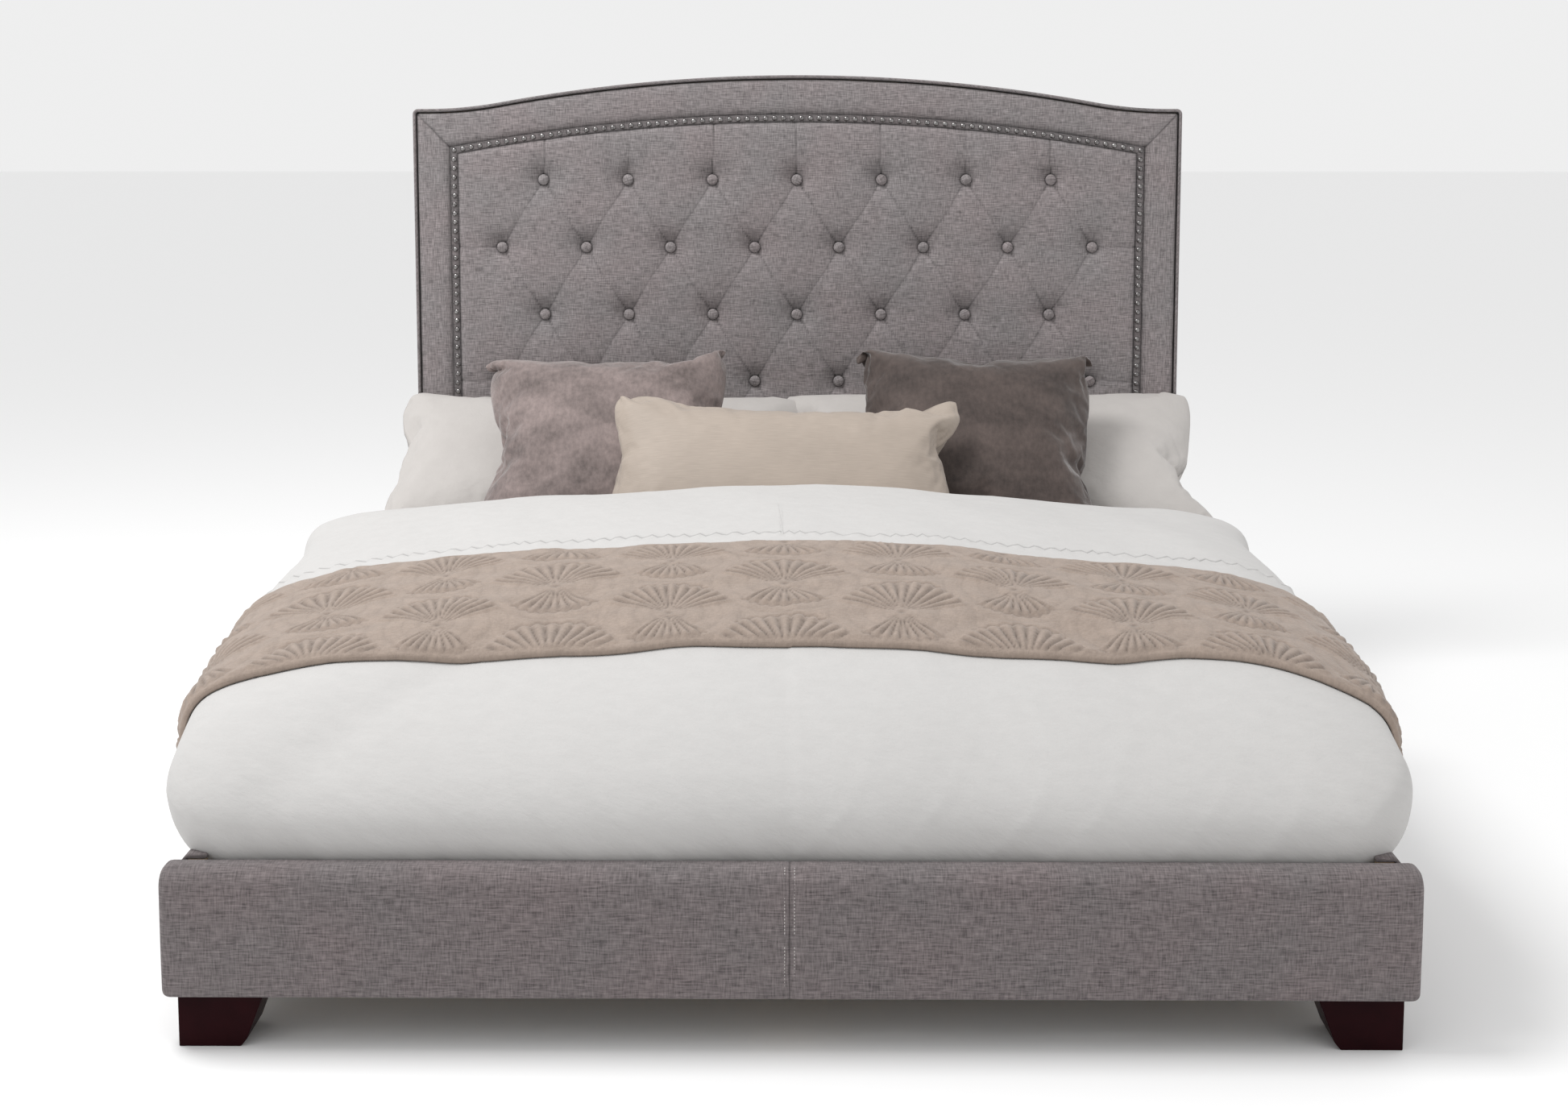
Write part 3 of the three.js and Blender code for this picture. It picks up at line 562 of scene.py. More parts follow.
def button_rows():
    """Centres of the tufting buttons: rows of seven and eight by turns."""
    rows = []
    for row in range(ROWS):
        count = 7 + row % 2
        rows.append([((i - (count - 1) / 2) * PITCH, ROW_TOP - row * ROW_STEP) for i in range(count)])
    return rows


def crease_lines():
    """The folds between buttons, and from the outermost ones to the panel's edges."""
    rows = button_rows()
    lines = []
    for upper, lower in zip(rows, rows[1:]):
        for a in upper:
            lines += [(a, b) for b in lower if abs(abs(a[0] - b[0]) - PITCH / 2) < MM]
    edge_x = STRIP_X - STRIP_HALF
    for x, z in rows[0]:
        lines.append(((x, z), (x - 0.004 * math.copysign(1, x), float(nail_line(x)) - STRIP_HALF)))
    for x, z in rows[-1]:
        lines.append(((x, z), (x, PAD_BOTTOM)))
    for row in rows[1::2]:
        for side, (x, z) in ((-1, row[0]), (1, row[-1])):
            lines.append(((x, z), (side * edge_x, z + 0.001)))
    return lines


def tufted_panel():
    """The tufted centre: domed diamonds, a dimple under each button and a fold along each line."""
    inner_x = STRIP_X - STRIP_HALF
    cols = 430
    s = np.linspace(-1, 1, cols)
    fine = np.linspace(0.19, 1, 190)
    coarse = np.linspace(0, 0.19, 24, endpoint=False)
    t = np.concatenate([coarse, fine])
    x = np.broadcast_to(s * inner_x, (len(t), cols))
    top = nail_line(x, -STRIP_HALF)
    z = PAD_BOTTOM + (top - PAD_BOTTOM) * t[:, None]

    fold = np.full(x.shape, 1.0)
    strength = np.zeros(x.shape)
    for (ax, az), (bx, bz) in crease_lines():
        dx, dz = bx - ax, bz - az
        length = math.hypot(dx, dz)
        along = np.clip(((x - ax) * dx + (z - az) * dz) / length ** 2, 0, 1)
        wander = 1.6 * MM * np.sin(along * math.pi * 2 + ax * 31 + az * 17) * np.sin(along * math.pi)
        d = np.abs(((x - ax) * dz - (z - az) * dx) / length + wander)
        beyond = np.hypot(x - ax - along * dx, z - az - along * dz)
        d = np.where((along > 0) & (along < 1), d, beyond)
        nearer = d < fold
        pull = 0.55 + 0.45 * np.cos(along * math.pi) ** 2
        strength = np.where(nearer, pull, strength)
        fold = np.minimum(fold, d)

    button = np.full(x.shape, 1.0)
    painted_button_shade = np.zeros(x.shape)
    for bx, bz in sum(button_rows(), []):
        d = np.hypot(x - bx, z - bz)
        button = np.minimum(button, d)
        # A painted shade above and left of each button, where the dimple's upper wall turns away from the
        # light.
        spot = np.hypot((x - bx + 0.008) * 0.75, (z - bz - 0.020) * 1.1)
        painted_button_shade = np.maximum(painted_button_shade, np.exp(-(spot / 0.022) ** 2))
    edge = np.minimum.reduce([inner_x - np.abs(x), top - z, z - PAD_BOTTOM + 0.002])

    dimple = 19 * MM * np.exp(-(button / (29 * MM)) ** 1.15)
    creased = strength * (2.0 * MM * np.exp(-fold / (2.2 * MM)) + 1.7 * MM * np.exp(-(fold / (15 * MM)) ** 2))
    hem = 5.5 * MM * np.exp(-edge / (4 * MM)) + 3 * MM * np.exp(-edge / (16 * MM))
    depth = np.minimum(dimple + creased + hem, 19 * MM)
    depth += 0.35 * MM * waves(x, z, 0.09, "panel")
    # dark is painted shade: thin lines along the folds, a ring at each button's rim, the patch above each
    # button and the panel's edge.
    dark = 0.50 * strength * np.exp(-(fold / (1.4 * MM)) ** 2)
    dark += 0.60 * np.exp(-np.clip(button - 0.0115, 0, 1) / (1.6 * MM))
    dark = np.clip(dark + 0.24 * painted_button_shade + 0.6 * np.exp(-edge / (1.6 * MM)), 0, 0.8)

    grid = np.stack([x, TUFT_FACE + depth, z], -1)
    verts, faces = slab(grid, PAD_BACK)
    painted_shade = np.concatenate([dark.ravel(), np.zeros(len(verts) - dark.size)])
    piece("headboard_tufted_cover", verts, faces, LINEN_HEAD, ["headboard_tufted_pad"],
          verts[:, [0, 2]], painted_shade)


def tufting_buttons():
    """Covered buttons: a domed cap whose cloth is gathered under the rim, on a shank with its twine."""
    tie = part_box("headboard_button_row_1")[1].y
    r = BUTTON_RADIUS
    profile = [(0.0, -6.4), (0.30, -6.2), (0.58, -5.5), (0.80, -4.3), (0.94, -2.8), (1.0, -1.3),
               (0.985, -0.3), (0.90, 0.5), (0.5, 0.8)]
    pleated = (5, 6)
    angles = circle(28)
    rng = random.Random(5)
    for index, row in enumerate(button_rows()):
        parts, cloth = [], []
        for x, z in row:
            turn = rng.uniform(-0.5, 0.5)
            tilt = rng.uniform(-0.06, 0.06)
            rings = []
            for k, (share, y) in enumerate(profile):
                pleat = 1 + (0.012 * np.sin(angles * 11) if k in pleated else 0)
                px, pz = share * r * np.cos(angles) * pleat, share * r * np.sin(angles) * pleat
                rings.append(np.stack([x + px, BUTTON_SEAT + y * MM + pz * tilt, z + pz], 1))
            shank_x, shank_z = x + 1.8 * MM * np.cos(angles), z + 1.8 * MM * np.sin(angles)
            shank = [np.stack([shank_x, np.full(28, y), shank_z], 1) for y in (BUTTON_SEAT + 0.9 * MM, tie)]
            verts, faces = loft(np.array(rings + shank))
            parts.append((verts, faces))
            local = verts[:, [0, 2]] - (x, z)
            spin = np.array([[math.cos(turn), -math.sin(turn)], [math.sin(turn), math.cos(turn)]])
            cloth.append(local @ spin + (x * 3.1, z * 2.3))
        (x0, z0), (x1, _) = row[0], row[-1]
        small = circle(8)
        twine_y, twine_z = tie - 2 * MM + 1.1 * MM * np.cos(small), z0 + 1.1 * MM * np.sin(small)
        twine = [np.stack([np.full(8, x), twine_y, twine_z], 1) for x in np.linspace(x0, x1, 40)]
        parts.append(loft(np.array(twine)))
        cloth.append(parts[-1][0][:, [0, 2]])
        verts, faces = merge(parts)
        piece(f"tufting_buttons_row_{index + 1}", verts, faces, LINEN_HEAD,
              [f"headboard_button_row_{index + 1}"], np.concatenate(cloth))


def nail_trim():
    """The band that the nails go through, and the round nail heads."""
    inner_x = STRIP_X
    corner_z = float(nail_line(inner_x))
    left = resample([(-inner_x, PAD_BOTTOM), (-inner_x, corner_z)], 160)
    xs = np.linspace(-inner_x, inner_x, 900)
    top = resample(np.stack([xs, nail_line(xs)], 1), 300)
    mirror = np.array((-1, 1))
    t = np.array([-1, -0.9, -0.65, -0.3, 0, 0.3, 0.65, 0.9, 1])
    lift = np.array([2.6, 0.9, 0.25, 0, 0, 0, 0.25, 0.9, 2.6]) * MM
    # Painted shade over the band, darkest at its edges where it sinks into the grooves.
    shade = np.array([0.8, 0.6, 0.4, 0.3, 0.3, 0.3, 0.4, 0.6, 0.8])
    line = np.concatenate([left, top[1:], (left * mirror)[::-1][1:]])
    n = normals(line)
    corner_rows = [len(left) - 1, len(left) + len(top) - 2]
    for row in corner_rows:
        n[row] = n[row] / max(abs(n[row].max()), abs(n[row].min()))
    grid = np.empty((len(line), len(t), 3))
    for k, (share, deep) in enumerate(zip(t, lift)):
        offset = line + n * (share * STRIP_HALF)
        grid[:, k, 0], grid[:, k, 2] = offset[:, 0], offset[:, 1]
        grid[:, k, 1] = NAIL_BAND_FACE + deep
    verts, faces = slab(grid, PAD_BACK, flip=True)
    painted_shade = np.concatenate([np.tile(shade, len(line)), np.zeros(len(verts) - len(line) * len(t))])
    piece("nail_trim_band", verts, faces, LINEN_HEAD, ["headboard_nail_strip"],
          verts[:, [0, 2]], painted_shade)

    pitch = 19.3 * MM
    down_side = round((corner_z - PAD_BOTTOM) / pitch)
    across = round(around(top)[-1] / pitch)
    spots = [tuple(p) for p in resample([(-inner_x, corner_z), (-inner_x, PAD_BOTTOM + 0.01)], down_side)[1:]]
    spots += [(-x, z) for x, z in spots]
    spots += [tuple(p) for p in resample(top, across + 1)]
    radius = 5.6 * MM
    profile = [(1.0, 0.9), (1.03, 0.2), (0.97, -0.9), (0.86, -1.9), (0.66, -2.8), (0.40, -3.4), (0.14, -3.65)]
    angles = circle(18)
    rng = random.Random(11)
    heads = []
    for x, z in spots:
        jog, tip = rng.uniform(-0.5, 0.5) * MM, rng.uniform(-0.1, 0.1)
        rings = [np.stack([x + jog + share * radius * np.cos(angles),
                           NAIL_SEAT + y * MM + share * radius * np.sin(angles) * tip,
                           z + jog * 0.6 + share * radius * np.sin(angles)], 1) for share, y in profile]
        heads.append(loft(np.array(rings), flip=True))
    verts, faces = merge(heads)
    piece("nail_heads", verts, faces, NICKEL, ["headboard_nail_strip"])


def headboard_edges():
    """The welt, the padded band behind it round the edge, and the plain lower pad."""
    line = whole_outline(HEAD_BOTTOM + 4 * MM)
    welt = inset_line(line, WELT_INSET)
    verts, faces = tube_along(welt, WELT_Y, WELT_RADIUS, WELT_SIDES)
    girth = np.linspace(0, WELT_GIRTH, WELT_SIDES)
    cloth = np.stack([np.repeat(around(welt), WELT_SIDES), np.tile(girth, len(welt))], 1)
    turned = cloth @ np.array([[0.7071, 0.7071], [-0.7071, 0.7071]])
    piece("headboard_welt_cord", verts, faces, LINEN_WELT_PAINTED_SHADE, ["headboard_welt"], turned)

    line = whole_outline(HEAD_BOTTOM)
    y0, y1 = HEAD_FRONT + 6.4 * MM, cover_lo.y - 0.2 * MM
    share = np.array([0, 0, 0.03, 0.10, 0.25, 0.5, 0.75, 0.90, 0.97, 1, 1])
    inset = np.array([BAND, 3.4, 1.6, 0.7, 0.2, 0, 0.2, 0.7, 1.6, 3.4, BAND])
    inset[1:-1] *= MM
    rings = np.empty((len(line), len(share), 3))
    for k in range(len(share)):
        place = inset_line(line, inset[k])
        rings[:, k, 0], rings[:, k, 2] = place[:, 0], place[:, 1]
        rings[:, k, 1] = y0 + (y1 - y0) * share[k]
    verts, faces = loft(rings, flip=True)
    across = y0 + (y1 - y0) * share
    cloth = np.stack([np.repeat(around(line), len(share)), np.tile(across, len(line))], 1)
    # Painted shade at the band's front edge in the groove behind the welt, and at its back edge.
    dark = np.tile(np.array([0.7, 0.6, 0.25, 0, 0, 0, 0, 0, 0.25, 0.6, 0.7]), len(line))
    piece("headboard_edge_cover", verts, faces, LINEN_HEAD, ["headboard_edge_band"],
          cloth, dark)

    xs = np.linspace(pad_lo.x, pad_hi.x, 180)
    zs = np.linspace(pad_lo.z, pad_hi.z, 46)
    x, z = np.meshgrid(xs, zs)
    edge = np.minimum.reduce([pad_hi.x - np.abs(x), z - pad_lo.z, pad_hi.z - z])
    depth = 8 * MM * np.exp(-edge / (7 * MM)) + 0.8 * MM * waves(x, z, 0.3, "lower")
    verts, faces = slab(np.stack([x, HEAD_FRONT + depth, z], -1), PAD_BACK)
    piece("headboard_lower_cover", verts, faces, LINEN_HEAD, ["headboard_lower_pad"],
          verts[:, [0, 2]])


def headboard_back():
    """A black dust cover with its edge turned under, held by a row of staples."""
    half, low = HALF - 3 * MM, HEAD_BOTTOM + 2 * MM
    shares = np.linspace(0, 1, 120)
    x = np.broadcast_to(np.linspace(-half, half, 200), (len(shares), 200))
    top = crest(x) - 4 * MM
    corner = end_inset(half - np.abs(x), CORNER - 2 * MM)
    z = low + (top - corner - low) * shares[:, None]
    edge = np.minimum.reduce([half - np.abs(x), z - low, top - z])
    slack = 0.7 * MM * waves(x, z, 0.22, "dust") * smooth_step(0, 0.08, edge)
    fold = 0.7 * MM * np.exp(-((edge - 16 * MM) / (1.5 * MM)) ** 2)
    y = cover_hi.y - 0.9 * MM - fold - 0.5 * MM + slack
    grid = np.stack([x, y, z], -1)
    verts, faces = slab(grid, cover_lo.y + 0.1 * MM, flip=True)
    piece("dust_cover", verts, faces, DUST_COVER, ["headboard_back_cover"])

    line = inset_line(whole_outline(HEAD_BOTTOM + 12 * MM), 10 * MM)
    spots = resample(line, 64)
    n = normals(spots)
    staples = []
    for (x, z), (nx, nz) in zip(spots, n):
        along = np.array((-nz, nx)) * 5 * MM
        ends = np.array([(x, z) - along, (x, z) + along])
        ring = []
        for ex, ez in ends:
            ring.append([(ex + nx * a * 0.5 * MM, cover_hi.y - 1.0 * MM + b * MM, ez + nz * a * 0.5 * MM)
                         for a, b in ((-1, -0.6), (1, -0.6), (1, 0.6), (-1, 0.6))])
        staples.append(loft(np.array(ring)))
    verts, faces = merge(staples)
    piece("back_staples", verts, faces, ZINC, smooth=False)


# ---------- footboard, rails and legs ----------

foot_lo, foot_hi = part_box("footboard_upholstery")
FOOT_FORWARD = 1.2 * MM
FOOT_ROLL, FOOT_ROUND = 28 * MM, 6 * MM
STITCH_PITCH, STITCH_LENGTH, STITCH_RADIUS, STITCH_FROM_SEAM = 4.7 * MM, 2.8 * MM, 0.70 * MM, 6.5 * MM


def foot_swell(height):
    """How far the footboard's padding swells to the front, at a height from its middle."""
    return 1.6 * MM * np.cos(np.clip(height / 0.087, -1, 1) * math.pi / 2)


def footboard_section(inset=0.0):
    """The footboard's section in Y and Z: a top that is rolled to the front, and tight elsewhere."""
    half_y = (foot_hi.y - foot_lo.y) / 2 - inset
    half_z = (foot_hi.z - foot_lo.z) / 2 - inset
    roll = max(FOOT_ROLL - inset, 8 * MM)
    low = max(FOOT_ROUND - inset, 2 * MM)
    return rounded_section(half_y, half_z, (low, low, roll, low), side=12, arc=9)


def footboard():
    """The footboard's cover, with a seam down its middle and a row of stitches on each side of it."""
    centre_y, centre_z = (foot_lo.y + foot_hi.y) / 2, (foot_lo.z + foot_hi.z) / 2
    reach = foot_hi.x
    near = np.array([0, 0.8, 1.6, 2.6, 4, 6, 9, 13, 18, 25]) * MM
    ends = reach - np.array([0, 0.4, 1.3, 2.8, 5, 8, 12]) * MM
    side = np.concatenate([near, np.linspace(36 * MM, reach - 20 * MM, 90), ends[::-1]])
    xs = np.concatenate([-side[::-1], side[1:]])
    base = footboard_section()
    run = around(np.vstack([base, base[:1]]))[:-1]
    rings, cloth, dark = [], [], []
    for x in xs:
        inset = float(end_inset(reach - abs(x), 12 * MM)) * 0.999
        ring = footboard_section(inset)
        groove = 1.4 * MM * math.exp(-(x / (1.3 * MM)) ** 2) + 0.9 * MM * math.exp(-(x / (13 * MM)) ** 2)
        size = np.hypot(ring[:, 0], ring[:, 1])[:, None]
        outward = ring / size
        outward[:, 1] *= 0.5
        ring = ring - outward * groove
        front = smooth_step(0.0, 0.02, -ring[:, 0])
        swell = foot_swell(ring[:, 1]) * front
        ripple = 0.35 * MM * waves(x, ring[:, 1], 0.12, "foot")
        y = centre_y + ring[:, 0] + FOOT_FORWARD - swell + ripple * front
        rings.append(np.stack([np.full(len(ring), x), y, centre_z + ring[:, 1]], 1))
        cloth.append(np.stack([np.full(len(ring), x), run], 1))
        # Painted shade in the groove of the centre seam.
        dark.append(np.full(len(ring), 0.6 * math.exp(-(x / (0.9 * MM)) ** 2)))
    verts, faces = loft(np.array(rings))
    piece("footboard_cover", verts, faces, LINEN_LOW_PAINTED_SHADE, ["footboard_upholstery"],
          np.concatenate(cloth), np.concatenate(dark))

    ring = footboard_section() + (centre_y + FOOT_FORWARD, centre_z)
    front = ring[(ring[:, 0] < foot_lo.y + FOOT_ROLL) & (ring[:, 1] > foot_lo.z + FOOT_ROUND)]
    front = front[np.argsort(np.arctan2(front[:, 1] - centre_z, front[:, 0] - foot_hi.y + 0.01))]
    front = front[::-1] if front[0, 1] > front[-1, 1] else front
    path = resample(front, int(around(front)[-1] / (0.5 * MM)))
    along = around(path)
    fat = STITCH_RADIUS * np.array([0.35, 0.85, 1, 1, 0.85, 0.35])
    angles = circle(8)
    stitches = []
    for x in (-STITCH_FROM_SEAM, STITCH_FROM_SEAM):
        start = 3 * MM
        while start + STITCH_LENGTH < along[-1]:
            span = np.linspace(start, start + STITCH_LENGTH, len(fat))
            y = np.interp(span, along, path[:, 0])
            z = np.interp(span, along, path[:, 1])
            y = y - foot_swell(z - centre_z) + 0.4 * MM
            rings = [np.stack([x + f * np.cos(angles), py + f * np.sin(angles) * 0.7, np.full(8, pz)], 1)
                     for f, py, pz in zip(fat, y, z)]
            stitches.append(loft(np.array(rings)))
            start += STITCH_PITCH
    verts, faces = merge(stitches)
    piece("footboard_topstitch", verts, faces, THREAD)


def rail_covers():
    """Rail covers: a C-shaped wrap with a rolled top edge."""
    for side, word in ((-1, "left"), (1, "right")):
        node = f"side_rail_upholstery_{word}"
        lo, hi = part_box(node)
        wall, lip = 10 * MM, 5 * MM
        inner = min(abs(lo.x), abs(hi.x))
        outer = max(abs(lo.x), abs(hi.x))
        roll, low = 16 * MM, 7 * MM
        path = [(inner, lo.z + 2 * MM), (inner + 2 * MM, lo.z)]
        path += [(outer - low + low * math.sin(a), lo.z + low - low * math.cos(a))
                 for a in np.linspace(0, math.pi / 2, 7)]
        rise = hi.z - roll - lo.z - low
        path += [(outer + 0.8 * MM * math.sin(math.pi * k / 12), lo.z + low + rise * k / 12)
                 for k in range(1, 12)]
        path += [(outer - roll + roll * math.cos(a), hi.z - roll + roll * math.sin(a))
                 for a in np.linspace(0, math.pi / 2, 9)]
        path += [(inner + 2 * MM, hi.z), (inner, hi.z - 2 * MM), (inner, hi.z - lip)]
        path += [(outer - wall, hi.z - lip), (outer - wall, lo.z + lip), (inner, lo.z + lip)]
        section = np.array(path)
        run = around(section)
        ys = np.linspace(lo.y, hi.y, 160)
        rings = np.empty((len(ys), len(section), 3))
        rings[:, :, 0] = side * (section[:, 0] + 0.5 * MM * waves(ys[:, None], run[None, :], 0.2, word))
        rings[:, :, 2] = section[:, 1]
        rings[:, :, 1] = ys[:, None]
        verts, faces = loft(rings, flip=side > 0)
        cloth = np.stack([np.repeat(ys, len(section)), np.tile(run, len(ys))], 1)
        piece(f"side_rail_cover_{word}", verts, faces, LINEN_LOW_PAINTED_SHADE, [node], cloth)


LEG_TOP, LEG_KINK, LEG_SOLE, KINK_HEIGHT = 0.113, 0.090, 0.082, 0.010


def front_legs():
    """Tapered block legs: an upright outer side, a splayed inner side and a small chamfer at the sole."""
    for side, word in ((-1, "left"), (1, "right")):
        node = f"footboard_leg_{word}"
        lo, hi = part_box(node)
        outer = max(abs(lo.x), abs(hi.x))
        shape = [(outer, lo.z), (outer, hi.z), (outer - LEG_TOP, hi.z),
                 (outer - LEG_KINK, lo.z + KINK_HEIGHT), (outer - LEG_SOLE, lo.z)]
        rings = [[(side * x, y, z) for x, z in shape] for y in (lo.y, hi.y)]
        verts, faces = loft(np.array(rings), flip=side < 0)
        leg = piece(f"front_leg_{word}", verts, faces, ESPRESSO, [node], smooth=False)
        bevel = leg.modifiers.new("eased_edges", "BEVEL")
        bevel.width = 1.6 * MM
        bevel.segments = 3
        bevel.harden_normals = True


# ---------- mattress and duvet ----------

bed_lo, bed_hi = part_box("mattress")
duvet_lo, duvet_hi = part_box("duvet")
RAIL_TOP = duvet_lo.z
DUVET_FRONT = duvet_lo.y
DUVET_END = duvet_hi.y
DUVET_HALF_FOOT, DUVET_HALF_HEAD = 0.845, 0.878
DUVET_DRIFT = -0.033
DUVET_TOP_FOOT, DUVET_TOP_HEAD = 0.474, 0.554
CROWN_FOOT, CROWN_HEAD, CROWN_FLAT = 0.050, 0.063, 0.3


def pressed_down(verts, gap):
    """Keeps points near the foot a gap below the duvet's upper surface."""
    under = (verts[:, 1] < DUVET_FRONT + FRONT_REACH) & (verts[:, 2] > DUVET_MIDDLE - 40 * MM)
    limit = duvet_height(verts[under, 0], verts[under, 1]) - gap
    verts[under, 2] = np.minimum(verts[under, 2], limit)


def mattress():
    """A knitted mattress with round corners, tape edges and shallow quilting."""
    half_x, half_y = (bed_hi.x - bed_lo.x) / 2, (bed_hi.y - bed_lo.y) / 2
    cx, cy = (bed_lo.x + bed_hi.x) / 2, (bed_lo.y + bed_hi.y) / 2
    corner, edge, soft = 80 * MM, 22 * MM, 46 * MM
    rings = []

    def ring(inset, z):
        radii = [max(corner - inset, 10 * MM)] * 4
        plan = rounded_section(half_x - inset, half_y - inset, radii, side=60, arc=9)
        return np.stack([cx + plan[:, 0], cy + plan[:, 1], np.full(len(plan), z)], 1)

    for inset in (0.60, 0.45, 0.30, 0.18, 0.10, 0.05):
        rings.append(ring(inset, bed_lo.z))
    for a in np.linspace(0, math.pi / 2, 6):
        rings.append(ring(edge * (1 - math.sin(a)), bed_lo.z + edge * (1 - math.cos(a))))
    for z in np.linspace(bed_lo.z + edge, bed_hi.z - soft - 3 * MM, 9)[1:-1]:
        bulge = -3 * MM * math.sin((z - bed_lo.z) / (bed_hi.z - bed_lo.z) * math.pi) + 3 * MM
        rings.append(ring(bulge, z))
    for a in np.linspace(math.pi / 2, 0, 8):
        rings.append(ring(soft * (1 - math.sin(a)), bed_hi.z - 3 * MM - soft * (1 - math.cos(a))))
    for inset in (0.05, 0.08, 0.11, 0.15, 0.20, 0.26, 0.32, 0.40, 0.50, 0.62, 0.72):
        rings.append(ring(inset, bed_hi.z - 3 * MM))
    verts, faces = loft(np.array(rings))
    flat = verts[:, 2] > bed_hi.z - soft
    verts[flat, 2] -= (1.2 * MM + 1.2 * MM * waves(verts[flat, 0], verts[flat, 1], 0.14, "mattress"))
    under_foot = 1 - smooth_step(bed_lo.y, bed_lo.y + 0.40, verts[:, 1])
    verts[flat, 2] -= 14 * MM * under_foot[flat]
    pressed_down(verts, 16 * MM)
    piece("mattress_cover", verts, faces, TICKING, ["mattress"],
          verts[:, [0, 1]] + verts[:, [2, 2]])
    tapes = []
    for z in (bed_lo.z + edge, bed_hi.z - soft - 3 * MM):
        plan = rounded_section(half_x, half_y, [corner] * 4, side=60, arc=12)
        out = outward_normals(plan)
        angles = circle(8)
        tube = np.empty((len(plan), 8, 3))
        tube[:, :, 0] = cx + plan[:, :1] + out[:, :1] * (3.2 * MM * np.cos(angles) - 1.2 * MM)
        tube[:, :, 1] = cy + plan[:, 1:] + out[:, 1:] * (3.2 * MM * np.cos(angles) - 1.2 * MM)
        tube[:, :, 2] = z + 3.2 * MM * np.sin(angles)
        faces = grid_faces(len(plan), 8, close_rows=True, close_cols=True)
        tapes.append((tube.reshape(-1, 3), faces))
    verts, faces = merge(tapes)
    pressed_down(verts, 20 * MM)
    piece("mattress_tape_edges", verts, faces, TICKING)


def duvet_top(x, y):
    """Height of the duvet's top: low over the foot, full towards the head, and arched from side to side."""
    share = np.clip((y - bed_lo.y) / (DUVET_END - bed_lo.y), 0, 1)
    spine = DUVET_TOP_FOOT + (DUVET_TOP_HEAD - DUVET_TOP_FOOT) * (1 - (1 - share) ** 2.5)
    across = np.hypot(np.clip(x / duvet_half(y), -1, 1), CROWN_FLAT) - CROWN_FLAT
    across /= math.hypot(1, CROWN_FLAT) - CROWN_FLAT
    return spine - (CROWN_FOOT + (CROWN_HEAD - CROWN_FOOT) * share) * across


FRONT_REACH, HEAD_REACH = 0.80, 0.30
FRONT_TURN, HEAD_TURN = 0.10, 0.09
SIDE_HEM, FRONT_HEM = 0.038, 0.014
DUVET_MIDDLE = RAIL_TOP + 0.100
FRONT_DROP = 0.065
SIDE_POWERS, FRONT_POWERS = (10, 0.26), (3.4, 0.52)
SEAM_Y = -0.262


def duvet_half(y):
    """Half of the duvet's greatest width, which tapers slightly towards the head."""
    return DUVET_HALF_FOOT + (DUVET_HALF_HEAD - DUVET_HALF_FOOT) * np.clip((y - bed_lo.y) / 1.3, 0, 1)


def duvet_drift(y):
    """How far the duvet lies to one side: it was pulled a little to the left at the head."""
    return DUVET_DRIFT * np.clip((y - bed_lo.y) / (DUVET_END - bed_lo.y), 0, 1)


def duvet_outline():
    """The duvet's plan: front edge, rounded corners, long sides and head edge, as one closed line."""
    w = DUVET_HALF_FOOT
    seam = SEAM_Y + np.array([-12, -8, -5, -3, -1, 1, 3, 5, 8, 12]) * MM
    side = np.concatenate([np.arange(DUVET_FRONT + FRONT_TURN, SEAM_Y - 16 * MM, 9 * MM), seam,
                           np.arange(SEAM_Y + 20 * MM, DUVET_END - HEAD_TURN, 9 * MM)])
    bend = np.linspace(0, math.pi / 2, 27)[1:-1]
    front = np.arange(0, w - FRONT_TURN, 9 * MM)
    right = [(x, DUVET_FRONT) for x in front]
    right += [(w - FRONT_TURN + FRONT_TURN * math.sin(a), DUVET_FRONT + FRONT_TURN - FRONT_TURN * math.cos(a))
              for a in bend]
    right += [(w, y) for y in side]
    right += [(w - HEAD_TURN + HEAD_TURN * math.cos(a), DUVET_END - HEAD_TURN + HEAD_TURN * math.sin(a))
              for a in bend[::2]]
    right += [(x, DUVET_END) for x in np.arange(w - HEAD_TURN, 0, -12 * MM)]
    right = np.array(right)
    line = np.concatenate([right, right[:0:-1] * (-1, 1)])
    line[:, 0] *= duvet_half(line[:, 1]) / w
    return line


def plan_share(x, y):
    """How far out a point of the plan is: 0 on the spine and 1 on the outline."""
    x, y = np.broadcast_arrays(np.abs(np.asarray(x, float)), np.asarray(y, float))
    w = duvet_half(y)
    forward = np.maximum(DUVET_FRONT + FRONT_REACH - y, 0)
    share = np.maximum(x / w, forward / FRONT_REACH)
    a, b = w - FRONT_TURN, FRONT_REACH - FRONT_TURN
    size = np.maximum(x ** 2 + forward ** 2, 1e-9)
    dot = a * x + b * forward
    root = np.sqrt(np.maximum(dot ** 2 - size * (a ** 2 + b ** 2 - FRONT_TURN ** 2), 0))
    stretch = (dot + root) / size
    corner = (forward > 0) & (x * stretch > a) & (forward * stretch > b)
    return np.where(corner, 1 / np.maximum(stretch, 1e-9), share)


def front_share(x, y):
    """1 where the duvet falls away over the foot, 0 where it falls away at the sides."""
    forward = np.maximum(DUVET_FRONT + FRONT_REACH - y, 0) / FRONT_REACH
    return smooth_step(0.5, 1.25, forward / np.maximum(np.abs(x) / duvet_half(y), 1e-3))


def duvet_middle(x, y):
    """Height at which the duvet is fullest: half way up its sides and low down at the front."""
    return DUVET_MIDDLE - FRONT_DROP * front_share(x, y)


def duvet_rise(share, x, y):
    """Height over the middle, as a share of the full height: square at the sides, sloping over the foot."""
    front = front_share(x, y)
    power = SIDE_POWERS[0] + (FRONT_POWERS[0] - SIDE_POWERS[0]) * front
    crown = SIDE_POWERS[1] + (FRONT_POWERS[1] - SIDE_POWERS[1]) * front
    return np.clip(1 - share ** power, 0, 1) ** crown


